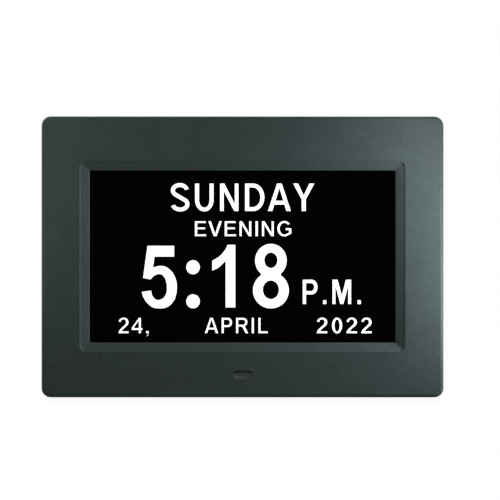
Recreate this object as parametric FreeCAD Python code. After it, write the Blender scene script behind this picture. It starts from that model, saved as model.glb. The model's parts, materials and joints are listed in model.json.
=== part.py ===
"""Day clock: a 16:9 display in a wide moulded case that leans back on a folding stand.

The clock is modelled upright. x runs across the face, y runs from the front face to the back, and z runs up
from the bottom edge of the bezel. The finished pieces are then leaned back and set down on their feet.
Sizes are in millimetres and degrees.
"""

import FreeCAD
import Part
import math
import os
from FreeCAD import Vector

# ---- Face -------------------------------------------------------------------------------------------------
screen_width = 155.0  # visible part of the display
screen_height = 87.2
bevel_side = 5.0  # width of the sunk frame between the flat border and the screen
bevel_top = 4.8
bevel_bottom = 4.6
border_side = 19.35  # flat border outside the sunk frame
border_top = 22.6
border_bottom = 23.2
body_corner = 4.7
face_roundover = 1.8
rim_chamfer = 0.4
recess_corner = 3.0
step_width = 0.8  # steep step at the outside of the sunk frame
step_depth = 0.8
slope_depth = 1.5  # how much deeper the slopes get from the step to the inner step
inner_step = 0.6  # chamfer at the screen's edge, as wide as it is deep
lip_depth = 0.7  # straight lip in front of the display

# ---- Case -------------------------------------------------------------------------------------------------
wall = 2.0
bezel_depth = 9.0
cover_inset = 1.2  # the rear cover stands in from the bezel all round
cover_taper = 1.8  # over the depth of the plate
plate_depth = 7.0  # from the bezel's rim to the flat back
plate_chamfer = 1.2
tongue_height = 1.6
tongue_gap = 0.1
pod_depth = 10.0
pod_taper = 1.5
pod_corner = 9.0
pod_bottom = 14.0
pod_chamfer = 1.6
slot_height = 1.6  # ventilation slots
slot_bevel = 0.5  # at the ends of every slot
slot_length = 18.0
slot_pitch = 4.0
slot_count = 7
slot_low = 40.0  # height of the lowest slot
keyhole_spacing = 156.0
keyhole_below = 21.0  # middle of the keyhole's wide part below the top of the body
keyhole_head = 4.2  # radius of the wide part
keyhole_neck = 2.1  # radius of the narrow part
keyhole_slide = 7.0
keyhole_depth = 5.0
keyhole_wall = 1.2

# ---- Stand and feet ---------------------------------------------------------------------------------------
lean_angle = 18.0  # the face leans back by this much
stand_angle = 32.0  # the leg opens this far from the case
leg_top_width = 44.0
leg_bottom_width = 58.0
leg_thickness = 4.6
leg_skin = 3.2
leg_rib = 2.0
leg_bays = 3
leg_solid_top = 6.0  # left unhollowed at the leg's two ends
leg_solid_toe = 8.0
leg_roundover = 0.8
leg_gap = 1.0
barrel_radius = 2.4
barrel_clearance = 0.2
heel_length = 3.0
stop_clearance = 0.05
hinge_drop = 20.0  # hinge axis below the top of the pod
pin_radius = 1.5
pin_clearance = 0.05
pin_engagement = 9.0
pin_seat = 5.0
sole_thickness = 1.6
foot_length = 16.0
foot_spread = 150.0  # between the middles of the feet
foot_start = 1.5  # behind the bezel
foot_depth = 4.6
foot_lift = 0.1  # the feet stay this much above the line of the bezel's bottom edge

# ---- Display module ---------------------------------------------------------------------------------------
module_margin_side = 5.0
module_margin_top = 5.6
module_margin_bottom = 7.2
gasket_thickness = 0.4
gasket_width = 3.2
sheet = 0.3
frame_reveal = 1.0
glass_thickness = 0.65
glass_margin = 1.3
ledge_height = 4.0
driver_chip_height = 1.3
film_thickness = 0.5
guide_thickness = 3.0
reflector_thickness = 0.2
back_plate_thickness = 0.4
moulding_wall = 2.9
fit_gap = 0.2
skirt_depth = 4.8
led_space = 2.6
led_count = 14
led_length = 3.5
rib_thickness = 1.2
rib_gap = 0.3
rib_length = 12.0
rib_height = 4.8
bracket_thickness = 0.8
bracket_width = 9.0
bracket_lap = 5.0
bracket_boss_gap = 5.2
bracket_spacing = 60.0
boss_radius = 3.0

# ---- Screws -----------------------------------------------------------------------------------------------
cover_screw_inset = 9.9  # from the side of the body to the screw's axis
cover_screw_edge = 12.4  # from the top or bottom of the body to the screw's axis
cover_screw_depth = 3.5  # of the seat below the flat back
cover_screw_head = 2.6
cover_screw_shank = 1.25
cover_screw_length = 8.0
cover_boss_radius = 4.0
cover_boss_floor = 2.0
counterbore_gap = 0.3
head_height_share = 0.7  # head height as a share of its radius
head_crown_share = 0.7  # flat top of the head as a share of its radius
screw_tip_gap = 0.5  # left under the end of every screw
board_screw_head = 2.2
board_screw_shank = 1.0
board_screw_length = 4.0
small_screw_head = 1.7
small_screw_shank = 0.8
small_screw_length = 2.6
small_boss_radius = 2.0
few_sides = 6  # flats of small round pieces and holes that stay hidden
ring_sides = 16  # flats of larger round pieces that stay hidden

# ---- Main board -------------------------------------------------------------------------------------------
board_left = 31.0  # from the middle of the body to the board's left edge
board_height = 70.0
board_thickness = 1.6
board_lift = 0.2  # rear face of the board behind the flat back
board_gap = 1.5
board_screw_inset = 3.6
chip_height = 1.4
processor_size = 14.0
memory_width = 11.0
memory_length = 8.0
memory_height = 1.0
crystal_width = 5.0
crystal_length = 3.2
capacitor_radius = 3.15
capacitor_height = 5.4
capacitor_foot = 0.7
capacitor_count = 3
inductor_size = 6.0
inductor_height = 4.0
part_pitch = 8.0
cell_radius = 10.0
cell_thickness = 3.2
cell_floor = 0.6
connector_height = 1.5
connector_depth = 4.6
flex_width = 20.0
flex_thickness = 0.2
cable_width = 6.0
cable_thickness = 0.4

# ---- Sockets ----------------------------------------------------------------------------------------------
port_recess = 0.4  # the sockets' mouths stand this far inside the pod's side
port_gap = 0.25
jack_bore = 1.9
jack_collar = 2.4
jack_body = 5.2
jack_width = 6.8
jack_length = 12.0
jack_pin_radius = 0.65
usb_height = 5.7
usb_width = 13.2
usb_length = 14.0
usb_sheet = 0.3
usb_tongue_thickness = 1.9
usb_tongue_width = 11.1
usb_tongue_set_back = 1.2
usb_tongue_gap = 0.3
usb_block_length = 2.5
card_height = 2.9
card_width = 26.0
card_length = 27.0
card_sheet = 0.4

# ---- Keys -------------------------------------------------------------------------------------------------
key_names = ["power", "menu", "up", "down", "back", "enter"]
key_pitch = 10.5
key_width = 9.0
key_height = 5.4
key_bevel = 1.0
key_proud = 1.0
key_gap = 0.15
key_travel = 0.4
flange_thickness = 1.0
flange_width = 0.8
flange_gap = 0.1
switch_size = 6.0
switch_height = 3.5
plunger_radius = 1.7
plunger_length = 1.6
plunger_gap = 0.1
plunger_float = 0.1  # beyond the travel, under the plunger
key_board_width = 14.0
key_board_thickness = 1.0
key_board_gap = 1.0  # between a key's flange and the screw post beside it

# ---- Loudspeaker ------------------------------------------------------------------------------------------
speaker_radius = 13.0
speaker_gap = 1.5
speaker_foam = 0.8
speaker_flange = 0.8
speaker_rim = 1.6
speaker_basket_depth = 3.2
speaker_basket_radius = 8.5
speaker_sheet = 0.5
magnet_radius = 7.0
magnet_thickness = 2.2
cone_thickness = 0.4
cone_neck_radius = 5.0
grille_slot = 1.6
grille_pitch = 3.0
grille_rows = 7
speaker_ear = 3.0
lead_width = 3.0
lead_thickness = 1.0

# ---- Infrared receiver ------------------------------------------------------------------------------------
ir_height = 11.5  # above the bottom edge
ir_slot_width = 10.2
ir_slot_height = 4.2
ir_sink = 0.8
ir_flange = 1.6
ir_flange_thickness = 1.0
ir_fit = 0.05
ir_body_width = 6.0
ir_body_height = 6.6
ir_body_depth = 3.6
ir_lens_radius = 2.2
ir_board_width = 28.0
ir_board_height = 12.0
ir_board_thickness = 1.2
ir_board_start = 8.4  # front of the receiver's board behind the face
ir_screw_spacing = 22.0

# ---- Sizes that follow ------------------------------------------------------------------------------------
overcut = 1.0  # how far a cutting solid runs past the surface that it cuts
near = 1e-4  # tolerance for picking edges
body_width = screen_width + 2 * (bevel_side + border_side)
body_height = border_bottom + bevel_bottom + screen_height + bevel_top + border_top
body_mid = body_height / 2
recess_width = screen_width + 2 * bevel_side
recess_height = screen_height + bevel_top + bevel_bottom
recess_mid = border_bottom + recess_height / 2
screen_mid = border_bottom + bevel_bottom + screen_height / 2
slope_end = step_depth + slope_depth
bevel_end = slope_end + inner_step
seat_depth = bevel_end + lip_depth

plate_rear = bezel_depth + plate_depth
pod_rear = plate_rear + pod_depth
axis_y = pod_rear - barrel_radius - barrel_clearance
cover_corner = body_corner - cover_inset
recess_floor = axis_y - barrel_radius - barrel_clearance
leg_outer = pod_rear - barrel_clearance - axis_y
leg_inner = leg_outer - leg_thickness

module_width = screen_width + 2 * module_margin_side
module_height = screen_height + module_margin_top + module_margin_bottom
module_mid = screen_mid + (module_margin_top - module_margin_bottom) / 2
module_front = seat_depth + gasket_thickness
panel_front = module_front + sheet
panel_rear = panel_front + 2 * glass_thickness
guide_front = panel_rear + film_thickness
guide_rear = guide_front + guide_thickness
back_plate_front = guide_rear + reflector_thickness
module_rear = back_plate_front + back_plate_thickness
moulding_width = module_width - 2 * (sheet + fit_gap)
moulding_height = module_height - 2 * (sheet + fit_gap)
light_width = moulding_width - 2 * moulding_wall
light_height = moulding_height - 2 * moulding_wall
bracket_x = module_width / 2 + bracket_boss_gap

recess_half = leg_bottom_width / 2 + leg_gap
column_width = 2 * (speaker_radius + speaker_gap)
column_x = recess_half + wall + column_width / 2
pod_width = 2 * (recess_half + wall + column_width + wall)
speaker_z = pod_bottom + wall + speaker_gap + speaker_radius
board_bottom = speaker_z + speaker_radius + speaker_gap
board_top = board_bottom + board_height
pod_top = board_top + board_gap + wall
pod_height = pod_top - pod_bottom
pod_mid = (pod_top + pod_bottom) / 2
pod_inner = pod_rear - wall
board_rear = plate_rear + board_lift
board_front = board_rear - board_thickness
board_right = pod_width / 2 - wall
hinge_z = pod_top - hinge_drop
heel_room = math.hypot(barrel_radius + barrel_clearance, heel_length) + leg_gap

lean = math.radians(lean_angle)
swing = math.radians(stand_angle - lean_angle)
foot_front = bezel_depth + foot_start
foot_rear = foot_front + foot_depth
floor_level = foot_lift * math.cos(lean) - foot_front * math.sin(lean)
hinge_level = hinge_z * math.cos(lean) - axis_y * math.sin(lean)
leg_length = (hinge_level - floor_level) / math.cos(swing)

keyhole_z = body_height - keyhole_below
jack_y = board_rear + jack_body / 2
post_reach = board_screw_inset + boss_radius  # from the board's edge to the far side of a screw post
socket_gap = (board_height - 2 * post_reach - jack_width - usb_width - card_width) / 4
jack_z = board_bottom + post_reach + socket_gap + jack_width / 2
usb_z = jack_z + socket_gap + (jack_width + usb_width) / 2
card_z = usb_z + socket_gap + (usb_width + card_width) / 2
cell_z = board_top - board_height / 2
cell_front = board_front - cell_floor - cell_thickness
connector_left = board_screw_inset + board_screw_head + board_gap - board_left
flex_x = connector_left + board_gap + flex_width / 2
cable_x = flex_x + flex_width / 2 + 2 * board_gap

cover_screw_x = body_width / 2 - cover_screw_inset
cover_seat = plate_rear - cover_screw_depth
cover_boss_front = cover_seat - cover_boss_floor
cover_pilot_end = cover_seat - cover_screw_length - screw_tip_gap
bracket_pilot_end = module_rear + bracket_thickness - board_screw_length - screw_tip_gap
cover_screw_places = [
    (side * cover_screw_x, height)
    for side in (-1, 1)
    for height in (cover_screw_edge, body_height - cover_screw_edge)
]
board_screw_places = [
    (x, z)
    for x in (board_screw_inset - board_left, board_right - board_screw_inset)
    for z in (board_bottom + board_screw_inset, board_top - board_screw_inset)
]
bracket_places = [
    (side * bracket_x, module_mid + lift * bracket_spacing / 2)
    for side in (-1, 1)
    for lift in (-1, 1)
]
key_flange_rear = pod_inner - flange_gap
key_flange_front = key_flange_rear - flange_thickness
plunger_front = key_flange_front - plunger_length
switch_rear = plunger_front + key_travel + plunger_float
key_board_rear = switch_rear - switch_height
key_board_front = key_board_rear - key_board_thickness
key_board_margin = key_height / 2 + flange_width + key_board_gap + 2 * small_boss_radius
key_board_top = pod_top - wall - board_gap
key_places = [key_board_top - key_board_margin - key_pitch * i for i in range(len(key_names))]
key_board_low = key_places[-1] - key_board_margin
key_screw_places = [
    (-column_x, key_board_top - small_boss_radius),
    (-column_x, key_board_low + small_boss_radius),
]
speaker_rear = pod_inner - speaker_foam
speaker_front = speaker_rear - speaker_flange
speaker_screw_reach = (speaker_radius + small_boss_radius + fit_gap) * math.sqrt(0.5)
speaker_screw_places = [
    (column_x + side * speaker_screw_reach, speaker_z + side * speaker_screw_reach) for side in (-1, 1)
]
ir_board_rear = ir_board_start + ir_board_thickness
ir_pilot_end = ir_board_rear - small_screw_length - screw_tip_gap
ir_screw_places = [(side * ir_screw_spacing / 2, ir_height) for side in (-1, 1)]


# ---- Shapes used again and again --------------------------------------------------------------------------
def rectangle(width, height, y, z, x=0.0):
    """A sharp-cornered outline in a plane across the depth."""
    low = Vector(x - width / 2, y, z - height / 2)
    high = Vector(x + width / 2, y, z + height / 2)
    corners = [low, Vector(high.x, y, low.z), high, Vector(low.x, y, high.z), low]
    return Part.makePolygon(corners)


def rounded(width, height, corner, y, z, x=0.0):
    """A rectangle with round corners in a plane across the depth."""
    left, right = x - width / 2, x + width / 2
    low, high = z - height / 2, z + height / 2
    cut = corner * (1 - math.sqrt(0.5))

    def at(px, pz):
        return Vector(px, y, pz)

    edges = [
        Part.LineSegment(at(left + corner, low), at(right - corner, low)),
        Part.Arc(at(right - corner, low), at(right - cut, low + cut), at(right, low + corner)),
        Part.LineSegment(at(right, low + corner), at(right, high - corner)),
        Part.Arc(at(right, high - corner), at(right - cut, high - cut), at(right - corner, high)),
        Part.LineSegment(at(right - corner, high), at(left + corner, high)),
        Part.Arc(at(left + corner, high), at(left + cut, high - cut), at(left, high - corner)),
        Part.LineSegment(at(left, high - corner), at(left, low + corner)),
        Part.Arc(at(left, low + corner), at(left + cut, low + cut), at(left + corner, low)),
    ]
    return Part.Wire([edge.toShape() for edge in edges])


def bevelled(width, height, bevel, y, z, x=0.0):
    """A rectangle with its corners cut off, in a plane across the depth."""
    reach, half = width / 2, height / 2
    corners = [
        (bevel - reach, -half),
        (reach - bevel, -half),
        (reach, bevel - half),
        (reach, half - bevel),
        (reach - bevel, half),
        (bevel - reach, half),
        (-reach, half - bevel),
        (-reach, bevel - half),
    ]
    points = [Vector(x + dx, y, z + dz) for dx, dz in corners]
    return Part.makePolygon(points + points[:1])


def stadium(width, height, y, z, x=0.0):
    """An outline with straight long sides and half-round ends."""
    flat = (width - height) / 2
    radius = height / 2
    edges = [
        Part.LineSegment(Vector(x - flat, y, z - radius), Vector(x + flat, y, z - radius)),
        Part.Arc(
            Vector(x + flat, y, z - radius), Vector(x + flat + radius, y, z), Vector(x + flat, y, z + radius)
        ),
        Part.LineSegment(Vector(x + flat, y, z + radius), Vector(x - flat, y, z + radius)),
        Part.Arc(
            Vector(x - flat, y, z + radius), Vector(x - flat - radius, y, z), Vector(x - flat, y, z - radius)
        ),
    ]
    return Part.Wire([edge.toShape() for edge in edges])


def prism(wire, depth):
    """The wire filled and drawn out along y."""
    return Part.Face(wire).extrude(Vector(0, depth, 0))


def block(width, height, front, rear, z, x=0.0):
    return prism(rectangle(width, height, front, z, x), rear - front)


def slab(width, height, corner, front, rear, z, x=0.0):
    return prism(rounded(width, height, corner, front, z, x), rear - front)


def post(radius, front, rear, x, z):
    return Part.makeCylinder(radius, rear - front, Vector(x, front, z), Vector(0, 1, 0))


def regular(radius, sides, y, x, z):
    """A regular outline in a plane across the depth, with its corners on a circle."""
    turns = [math.tau * (i + 0.5) / sides for i in range(sides)]
    corners = [Vector(x + radius * math.cos(turn), y, z + radius * math.sin(turn)) for turn in turns]
    return Part.makePolygon(corners + corners[:1])


def stub(radius, front, rear, x, z, sides=few_sides):
    """A post with a few flats instead of a round side, for what stays hidden."""
    return prism(regular(radius, sides, front, x, z), rear - front)


def loft(first, second):
    return Part.makeLoft([first, second], True, True)


def across(points, left, right):
    """A closed profile of (y, z) points drawn out from left to right."""
    corners = [Vector(left, y, z) for y, z in points]
    face = Part.Face(Part.makePolygon(corners + corners[:1]))
    return face.extrude(Vector(right - left, 0, 0))


def upright_prism(points, front, rear):
    """A closed outline of (x, z) points drawn out from front to rear."""
    corners = [Vector(x, front, z) for x, z in points]
    return prism(Part.makePolygon(corners + corners[:1]), rear - front)


def strip(points, thickness):
    """The closed outline of a thin strip along a bent centre line, with mitred bends."""
    sides = ([], [])
    for i, point in enumerate(points):
        before = points[max(i - 1, 0)]
        after = points[min(i + 1, len(points) - 1)]
        arms = []
        for start, end in ((before, point), (point, after)):
            length = math.dist(start, end)
            if length > 0:
                arms.append((-(end[1] - start[1]) / length, (end[0] - start[0]) / length))
        normal = (sum(arm[0] for arm in arms), sum(arm[1] for arm in arms))
        stretch = thickness / (normal[0] * arms[0][0] + normal[1] * arms[0][1]) / 2
        for side, sign in zip(sides, (1, -1)):
            side.append((point[0] + sign * stretch * normal[0], point[1] + sign * stretch * normal[1]))
    return sides[0] + sides[1][::-1]


def joined(first, *others):
    """One solid from solids that touch or overlap."""
    return first.multiFuse(list(others)).removeSplitter()


def flat_edges(shape, y):
    """The edges of a shape that lie at one depth."""
    return [
        edge
        for edge in shape.Edges
        if abs(edge.BoundBox.YMin - y) < near and abs(edge.BoundBox.YMax - y) < near
    ]


def screw(place, seat, toward, head, shank, length, sides=few_sides):
    """A pan-head screw. Its head stands on the seat and its shank points toward +y or -y."""
    x, z = place
    height = head * head_height_share
    brow = seat - toward * height / 2
    top = seat - toward * height
    cap = prism(regular(head, sides, seat, x, z), brow - seat)
    crown = loft(regular(head, sides, brow, x, z), regular(head * head_crown_share, sides, top, x, z))
    body = prism(regular(shank, few_sides, seat, x, z), toward * length)
    return joined(cap, crown, body)


# ---- Case -------------------------------------------------------------------------------------------------
def make_recess():
    """The sunk frame round the screen, as the solid that it takes out of the face."""
    stepped = (recess_width - 2 * step_width, recess_height - 2 * step_width)
    mouth = slab(recess_width, recess_height, recess_corner, -overcut, 0, recess_mid)
    step = loft(
        rounded(recess_width, recess_height, recess_corner, 0, recess_mid),
        rounded(*stepped, recess_corner - step_width, step_depth, recess_mid),
    )
    slopes = loft(
        rectangle(*stepped, step_depth, recess_mid),
        rectangle(screen_width + 2 * inner_step, screen_height + 2 * inner_step, slope_end, screen_mid),
    )
    slopes = slopes.common(
        slab(*stepped, recess_corner - step_width, step_depth, slope_end, recess_mid)
    )
    inner = loft(
        rectangle(screen_width + 2 * inner_step, screen_height + 2 * inner_step, slope_end, screen_mid),
        rectangle(screen_width, screen_height, bevel_end, screen_mid),
    )
    window = block(screen_width, screen_height, bevel_end, seat_depth + overcut, screen_mid)
    return joined(mouth, step, slopes, inner, window)


def make_corner_ribs():
    """Four angle-shaped ribs that locate the display module by its corners."""
    outer_gap = 2 * (rib_gap + rib_thickness)
    rear = wall + rib_height
    ring = block(module_width + outer_gap, module_height + outer_gap, wall / 2, rear, module_mid)
    inside = block(
        module_width + 2 * rib_gap, module_height + 2 * rib_gap, 0, rear + overcut, module_mid
    )
    upright = block(module_width - 2 * rib_length, 2 * module_height, 0, rear + overcut, module_mid)
    level = block(2 * module_width, module_height - 2 * rib_length, 0, rear + overcut, module_mid)
    return ring.cut([inside, upright, level])


def make_front_bezel():
    body = slab(body_width, body_height, body_corner, 0, bezel_depth, body_mid)
    body = body.makeFillet(face_roundover, flat_edges(body, 0))
    body = body.makeChamfer(rim_chamfer, flat_edges(body, bezel_depth))
    hollow = slab(
        body_width - 2 * wall,
        body_height - 2 * wall,
        body_corner - wall,
        wall,
        bezel_depth + overcut,
        body_mid,
    )
    backing = slab(
        recess_width + 2 * wall,
        recess_height + 2 * wall,
        recess_corner,
        wall / 2,
        seat_depth,
        recess_mid,
    )
    cover_bosses = [stub(boss_radius, wall / 2, cover_boss_front, x, z) for x, z in cover_screw_places]
    bracket_bosses = [stub(boss_radius, wall / 2, module_rear, x, z) for x, z in bracket_places]
    ir_bosses = [stub(small_boss_radius, wall / 2, ir_board_start, x, z) for x, z in ir_screw_places]
    bezel = joined(
        body.cut(hollow), backing, make_corner_ribs(), *cover_bosses, *bracket_bosses, *ir_bosses
    )
    cover_pilots = [
        stub(cover_screw_shank, cover_pilot_end, cover_boss_front + overcut, x, z)
        for x, z in cover_screw_places
    ]
    bracket_pilots = [
        stub(board_screw_shank, bracket_pilot_end, module_rear + overcut, x, z)
        for x, z in bracket_places
    ]
    ir_pilots = [
        stub(small_screw_shank, ir_pilot_end, ir_board_start + overcut, x, z)
        for x, z in ir_screw_places
    ]
    slot = prism(stadium(ir_slot_width, ir_slot_height, -overcut, ir_height), wall + 2 * overcut)
    return bezel.cut([make_recess(), slot, *cover_pilots, *bracket_pilots, *ir_pilots])


def cover_inset_at(y):
    """How far the tapering side of the rear cover stands in from the bezel at one depth."""
    return cover_inset + cover_taper * (y - bezel_depth) / plate_depth


def cover_outline(y):
    """The outside of the rear cover at one depth. Its corners get tighter as it tapers."""
    inset = cover_inset_at(y)
    return rounded(body_width - 2 * inset, body_height - 2 * inset, body_corner - inset, y, body_mid)


def cover_inside(y):
    inset = cover_inset_at(y) + wall
    return rectangle(body_width - 2 * inset, body_height - 2 * inset, y, body_mid)


def pod_outline(y, shrink=0.0):
    """The tapering outline of the raised pod at one depth."""
    grow = pod_taper * (pod_rear - y) / pod_depth - shrink
    return rounded(pod_width + 2 * grow, pod_height + 2 * grow, pod_corner + grow, y, pod_mid)


def leg_half(z):
    """Half the width of the folded leg at one height."""
    return (leg_top_width + (leg_bottom_width - leg_top_width) * (hinge_z - z) / leg_length) / 2


def leg_recess(front, margin):
    """The channel that the folded leg lies in, widened by a margin."""
    top = hinge_z + heel_room + margin
    low = pod_bottom - wall - pod_taper - overcut
    outline = [
        (-leg_half(low) - leg_gap - margin, low),
        (leg_half(low) + leg_gap + margin, low),
        (leg_half(top) + leg_gap + margin, top),
        (-leg_half(top) - leg_gap - margin, top),
    ]
    return upright_prism(outline, front, pod_rear + overcut)


def make_cover_shell():
    """The cover's plate and pod as one hollow moulding, with the leg's channel still filled."""
    plate = loft(cover_outline(bezel_depth), cover_outline(plate_rear))
    plate = plate.makeChamfer(plate_chamfer, flat_edges(plate, plate_rear))
    pod = loft(pod_outline(plate_rear - wall), pod_outline(pod_rear))
    pod = pod.makeChamfer(pod_chamfer, flat_edges(pod, pod_rear))
    outside = joined(plate, pod)
    rim_end = plate_rear - wall
    hollow = joined(
        loft(cover_inside(bezel_depth - overcut), cover_inside(rim_end)),
        loft(pod_outline(rim_end - overcut, wall), pod_outline(pod_inner, wall)),
    )
    channel = leg_recess(recess_floor - wall, wall).common(outside)
    return joined(outside.cut(hollow), channel)


def make_tongue():
    """The rim that enters the bezel and keeps the two halves of the case in line."""
    front = bezel_depth - tongue_height
    inset = wall + tongue_gap
    outer = slab(
        body_width - 2 * inset, body_height - 2 * inset, body_corner - wall, front, bezel_depth, body_mid
    )
    inner_inset = 2 * (cover_inset + wall)
    inner = slab(
        body_width - inner_inset,
        body_height - inner_inset,
        cover_corner - wall,
        front - overcut,
        bezel_depth + overcut,
        body_mid,
    )
    return outer.cut(inner)


def make_keyholes():
    """The closed cups behind the two wall slots, and the cutters that hollow them and open them."""
    cups = []
    cuts = []
    low = keyhole_z - keyhole_head
    high = keyhole_z + keyhole_slide + keyhole_neck
    middle = (low + high) / 2
    margin = 2 * keyhole_wall
    cup_front = plate_rear - keyhole_depth
    cup_back = cup_front - keyhole_wall
    neck_top = keyhole_z + keyhole_slide
    neck_middle = keyhole_z + keyhole_slide / 2
    width = 2 * keyhole_head
    end = plate_rear + overcut
    for side in (-1, 1):
        x = side * keyhole_spacing / 2
        cups.append(block(width + margin, high - low + margin, cup_back, plate_rear - wall / 2, middle, x))
        cuts.append(block(width, high - low, cup_front, plate_rear - wall, middle, x))
        cuts.append(post(keyhole_head, cup_front, end, x, keyhole_z))
        cuts.append(post(keyhole_neck, cup_front, end, x, neck_top))
        cuts.append(block(2 * keyhole_neck, keyhole_slide, cup_front, end, neck_middle, x))
    return cups, cuts


def pod_side(y):
    """Distance from the middle to the outside of the pod's side at one depth."""
    return pod_width / 2 + pod_taper * (pod_rear - y) / pod_depth


def make_port_cuts():
    """Openings in the pod's side for the three sockets."""
    inside = pod_width / 2 - wall - overcut
    length = 2 * (wall + overcut + pod_taper)
    middle = inside + length / 2
    usb = block(
        length,
        usb_width + 2 * port_gap,
        board_rear - port_gap / 2,
        board_rear + usb_height + port_gap,
        usb_z,
        middle,
    )
    card = block(
        length,
        card_width + 2 * port_gap,
        board_rear - port_gap / 2,
        board_rear + card_height + port_gap,
        card_z,
        middle,
    )
    jack = Part.makeCylinder(
        jack_collar + port_gap / 2, length, Vector(inside, jack_y, jack_z), Vector(1, 0, 0)
    )
    return [usb, card, jack]


def slot_cut(length, height, front, z, x):
    """A cutter for a slot through a wall, with bevelled ends."""
    return prism(bevelled(length, height, slot_bevel, front - overcut, z, x), wall + 2 * overcut)


def make_grille():
    """Slots in front of the loudspeaker, shorter towards the edge of its circle."""
    slots = []
    reach = speaker_radius - speaker_rim
    for row in range(grille_rows):
        offset = (row - (grille_rows - 1) / 2) * grille_pitch
        length = 2 * math.sqrt(reach**2 - offset**2)
        slots.append(slot_cut(length, grille_slot, pod_inner, speaker_z + offset, column_x))
    return slots


def make_vents():
    """Two banks of ventilation slots in the flat back, beside the pod."""
    x = (pod_side(plate_rear) + cover_screw_x - cover_boss_radius) / 2
    return [
        slot_cut(slot_length, slot_height, plate_rear - wall, slot_low + row * slot_pitch, side * x)
        for side in (-1, 1)
        for row in range(slot_count)
    ]


def make_cover_posts():
    """The posts inside the cover that carry the boards, the loudspeaker and the cover's own screws."""
    posts = [
        stub(cover_boss_radius, cover_boss_front, plate_rear - wall / 2, x, z)
        for x, z in cover_screw_places
    ]
    for x, z in board_screw_places:
        posts.append(stub(boss_radius, board_rear, pod_rear - wall / 2, x, z))
    for x, z in key_screw_places:
        posts.append(stub(small_boss_radius, key_board_rear, pod_rear - wall / 2, x, z))
    for x, z in speaker_screw_places:
        posts.append(stub(small_boss_radius, speaker_rear, pod_rear - wall / 2, x, z))
    return posts


def make_cover_holes():
    """Cutters for every screw, pin and key that enters the rear cover."""
    holes = []
    for x, z in cover_screw_places:
        holes.append(post(cover_screw_head + counterbore_gap, cover_seat, plate_rear + overcut, x, z))
        hole = cover_screw_shank + counterbore_gap
        holes.append(stub(hole, cover_boss_front - overcut, cover_seat + overcut, x, z))
    board_hole_end = board_front + board_screw_length + screw_tip_gap
    key_hole_end = key_board_front + small_screw_length + screw_tip_gap
    speaker_hole_end = speaker_front + small_screw_length + screw_tip_gap
    for x, z in board_screw_places:
        holes.append(stub(board_screw_shank, board_rear - overcut, board_hole_end, x, z))
    for x, z in key_screw_places:
        holes.append(stub(small_screw_shank, key_board_rear - overcut, key_hole_end, x, z))
    for x, z in speaker_screw_places:
        holes.append(stub(small_screw_shank, speaker_rear - overcut, speaker_hole_end, x, z))
    for z in key_places:
        holes.append(key_prism(key_gap, pod_inner - overcut, pod_rear + overcut, z))
    for side in (-1, 1):
        start = Vector(side * (leg_top_width / 2 + leg_gap - overcut), axis_y, hinge_z)
        holes.append(Part.makeCylinder(pin_radius, pin_seat + overcut, start, Vector(side, 0, 0)))
    return holes


def make_rear_cover():
    shell = make_cover_shell()
    boss_x = (leg_top_width + pin_seat) / 2 + leg_gap
    pin_bosses = [
        block(pin_seat, 4 * pin_radius, axis_y - 2 * pin_radius, pod_rear, hinge_z, side * boss_x)
        for side in (-1, 1)
    ]
    cups, keyhole_cuts = make_keyholes()
    cover = joined(shell, make_tongue(), *make_cover_posts(), *pin_bosses, *cups)
    cuts = make_cover_holes() + keyhole_cuts + make_port_cuts() + make_grille() + make_vents()
    return cover.cut([leg_recess(recess_floor, 0), *cuts])


def make_cover_screws():
    sizes = (cover_screw_head, cover_screw_shank, cover_screw_length)
    return Part.makeCompound(
        [screw(place, cover_seat, -1, *sizes, ring_sides) for place in cover_screw_places]
    )


def make_rubber_feet():
    """Wedges whose undersides lie flat on the surface when the clock leans back."""

    def ground(y):
        return (floor_level + y * math.sin(lean)) / math.cos(lean)

    profile = [
        (foot_front, ground(foot_front)),
        (foot_rear, ground(foot_rear)),
        (foot_rear, cover_inset_at(foot_rear)),
        (foot_front, cover_inset_at(foot_front)),
    ]
    feet = [
        across(profile, (side * foot_spread - foot_length) / 2, (side * foot_spread + foot_length) / 2)
        for side in (-1, 1)
    ]
    return Part.makeCompound(feet)


# ---- Infrared receiver ------------------------------------------------------------------------------------
def make_ir_window():
    plug = prism(
        stadium(ir_slot_width - 2 * ir_fit, ir_slot_height - 2 * ir_fit, ir_sink, ir_height), wall - ir_sink
    )
    flange = block(
        ir_slot_width + 2 * ir_flange,
        ir_slot_height + 2 * ir_flange,
        wall,
        wall + ir_flange_thickness,
        ir_height,
    )
    return joined(plug, flange)


def make_ir_receiver():
    front = ir_board_start - ir_body_depth
    body = block(ir_body_width, ir_body_height, front, ir_board_start, ir_height)
    lens = stub(ir_lens_radius, front - ir_lens_radius / 2, front, 0, ir_height)
    return joined(body, lens)


def make_ir_board():
    board = block(ir_board_width, ir_board_height, ir_board_start, ir_board_rear, ir_height)
    holes = [
        stub(small_screw_shank, ir_board_start - overcut, ir_board_rear + overcut, x, z)
        for x, z in ir_screw_places
    ]
    return board.cut(holes)


def make_ir_cable():
    half = cable_thickness / 2
    route = [
        (ir_board_rear + half, ir_height - ir_board_height / 4),
        (ir_board_rear + half, ir_height + ir_board_height / 2),
        (module_rear + cable_thickness * 2, module_mid - module_height / 2),
        (module_rear + cable_thickness * 2, board_bottom + part_pitch / 2),
        (board_front - half, board_bottom + part_pitch),
        (board_front - half, board_bottom + 2 * part_pitch),
    ]
    return across(strip(route, cable_thickness), cable_x, cable_x + cable_width)


# ---- Display module ---------------------------------------------------------------------------------------
def make_screen_gasket():
    ring = block(
        screen_width + 2 * (frame_reveal + gasket_width),
        screen_height + 2 * (frame_reveal + gasket_width),
        seat_depth,
        module_front,
        screen_mid,
    )
    opening = block(
        screen_width + 2 * frame_reveal,
        screen_height + 2 * frame_reveal,
        seat_depth - overcut,
        module_front + overcut,
        screen_mid,
    )
    return ring.cut(opening)


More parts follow.
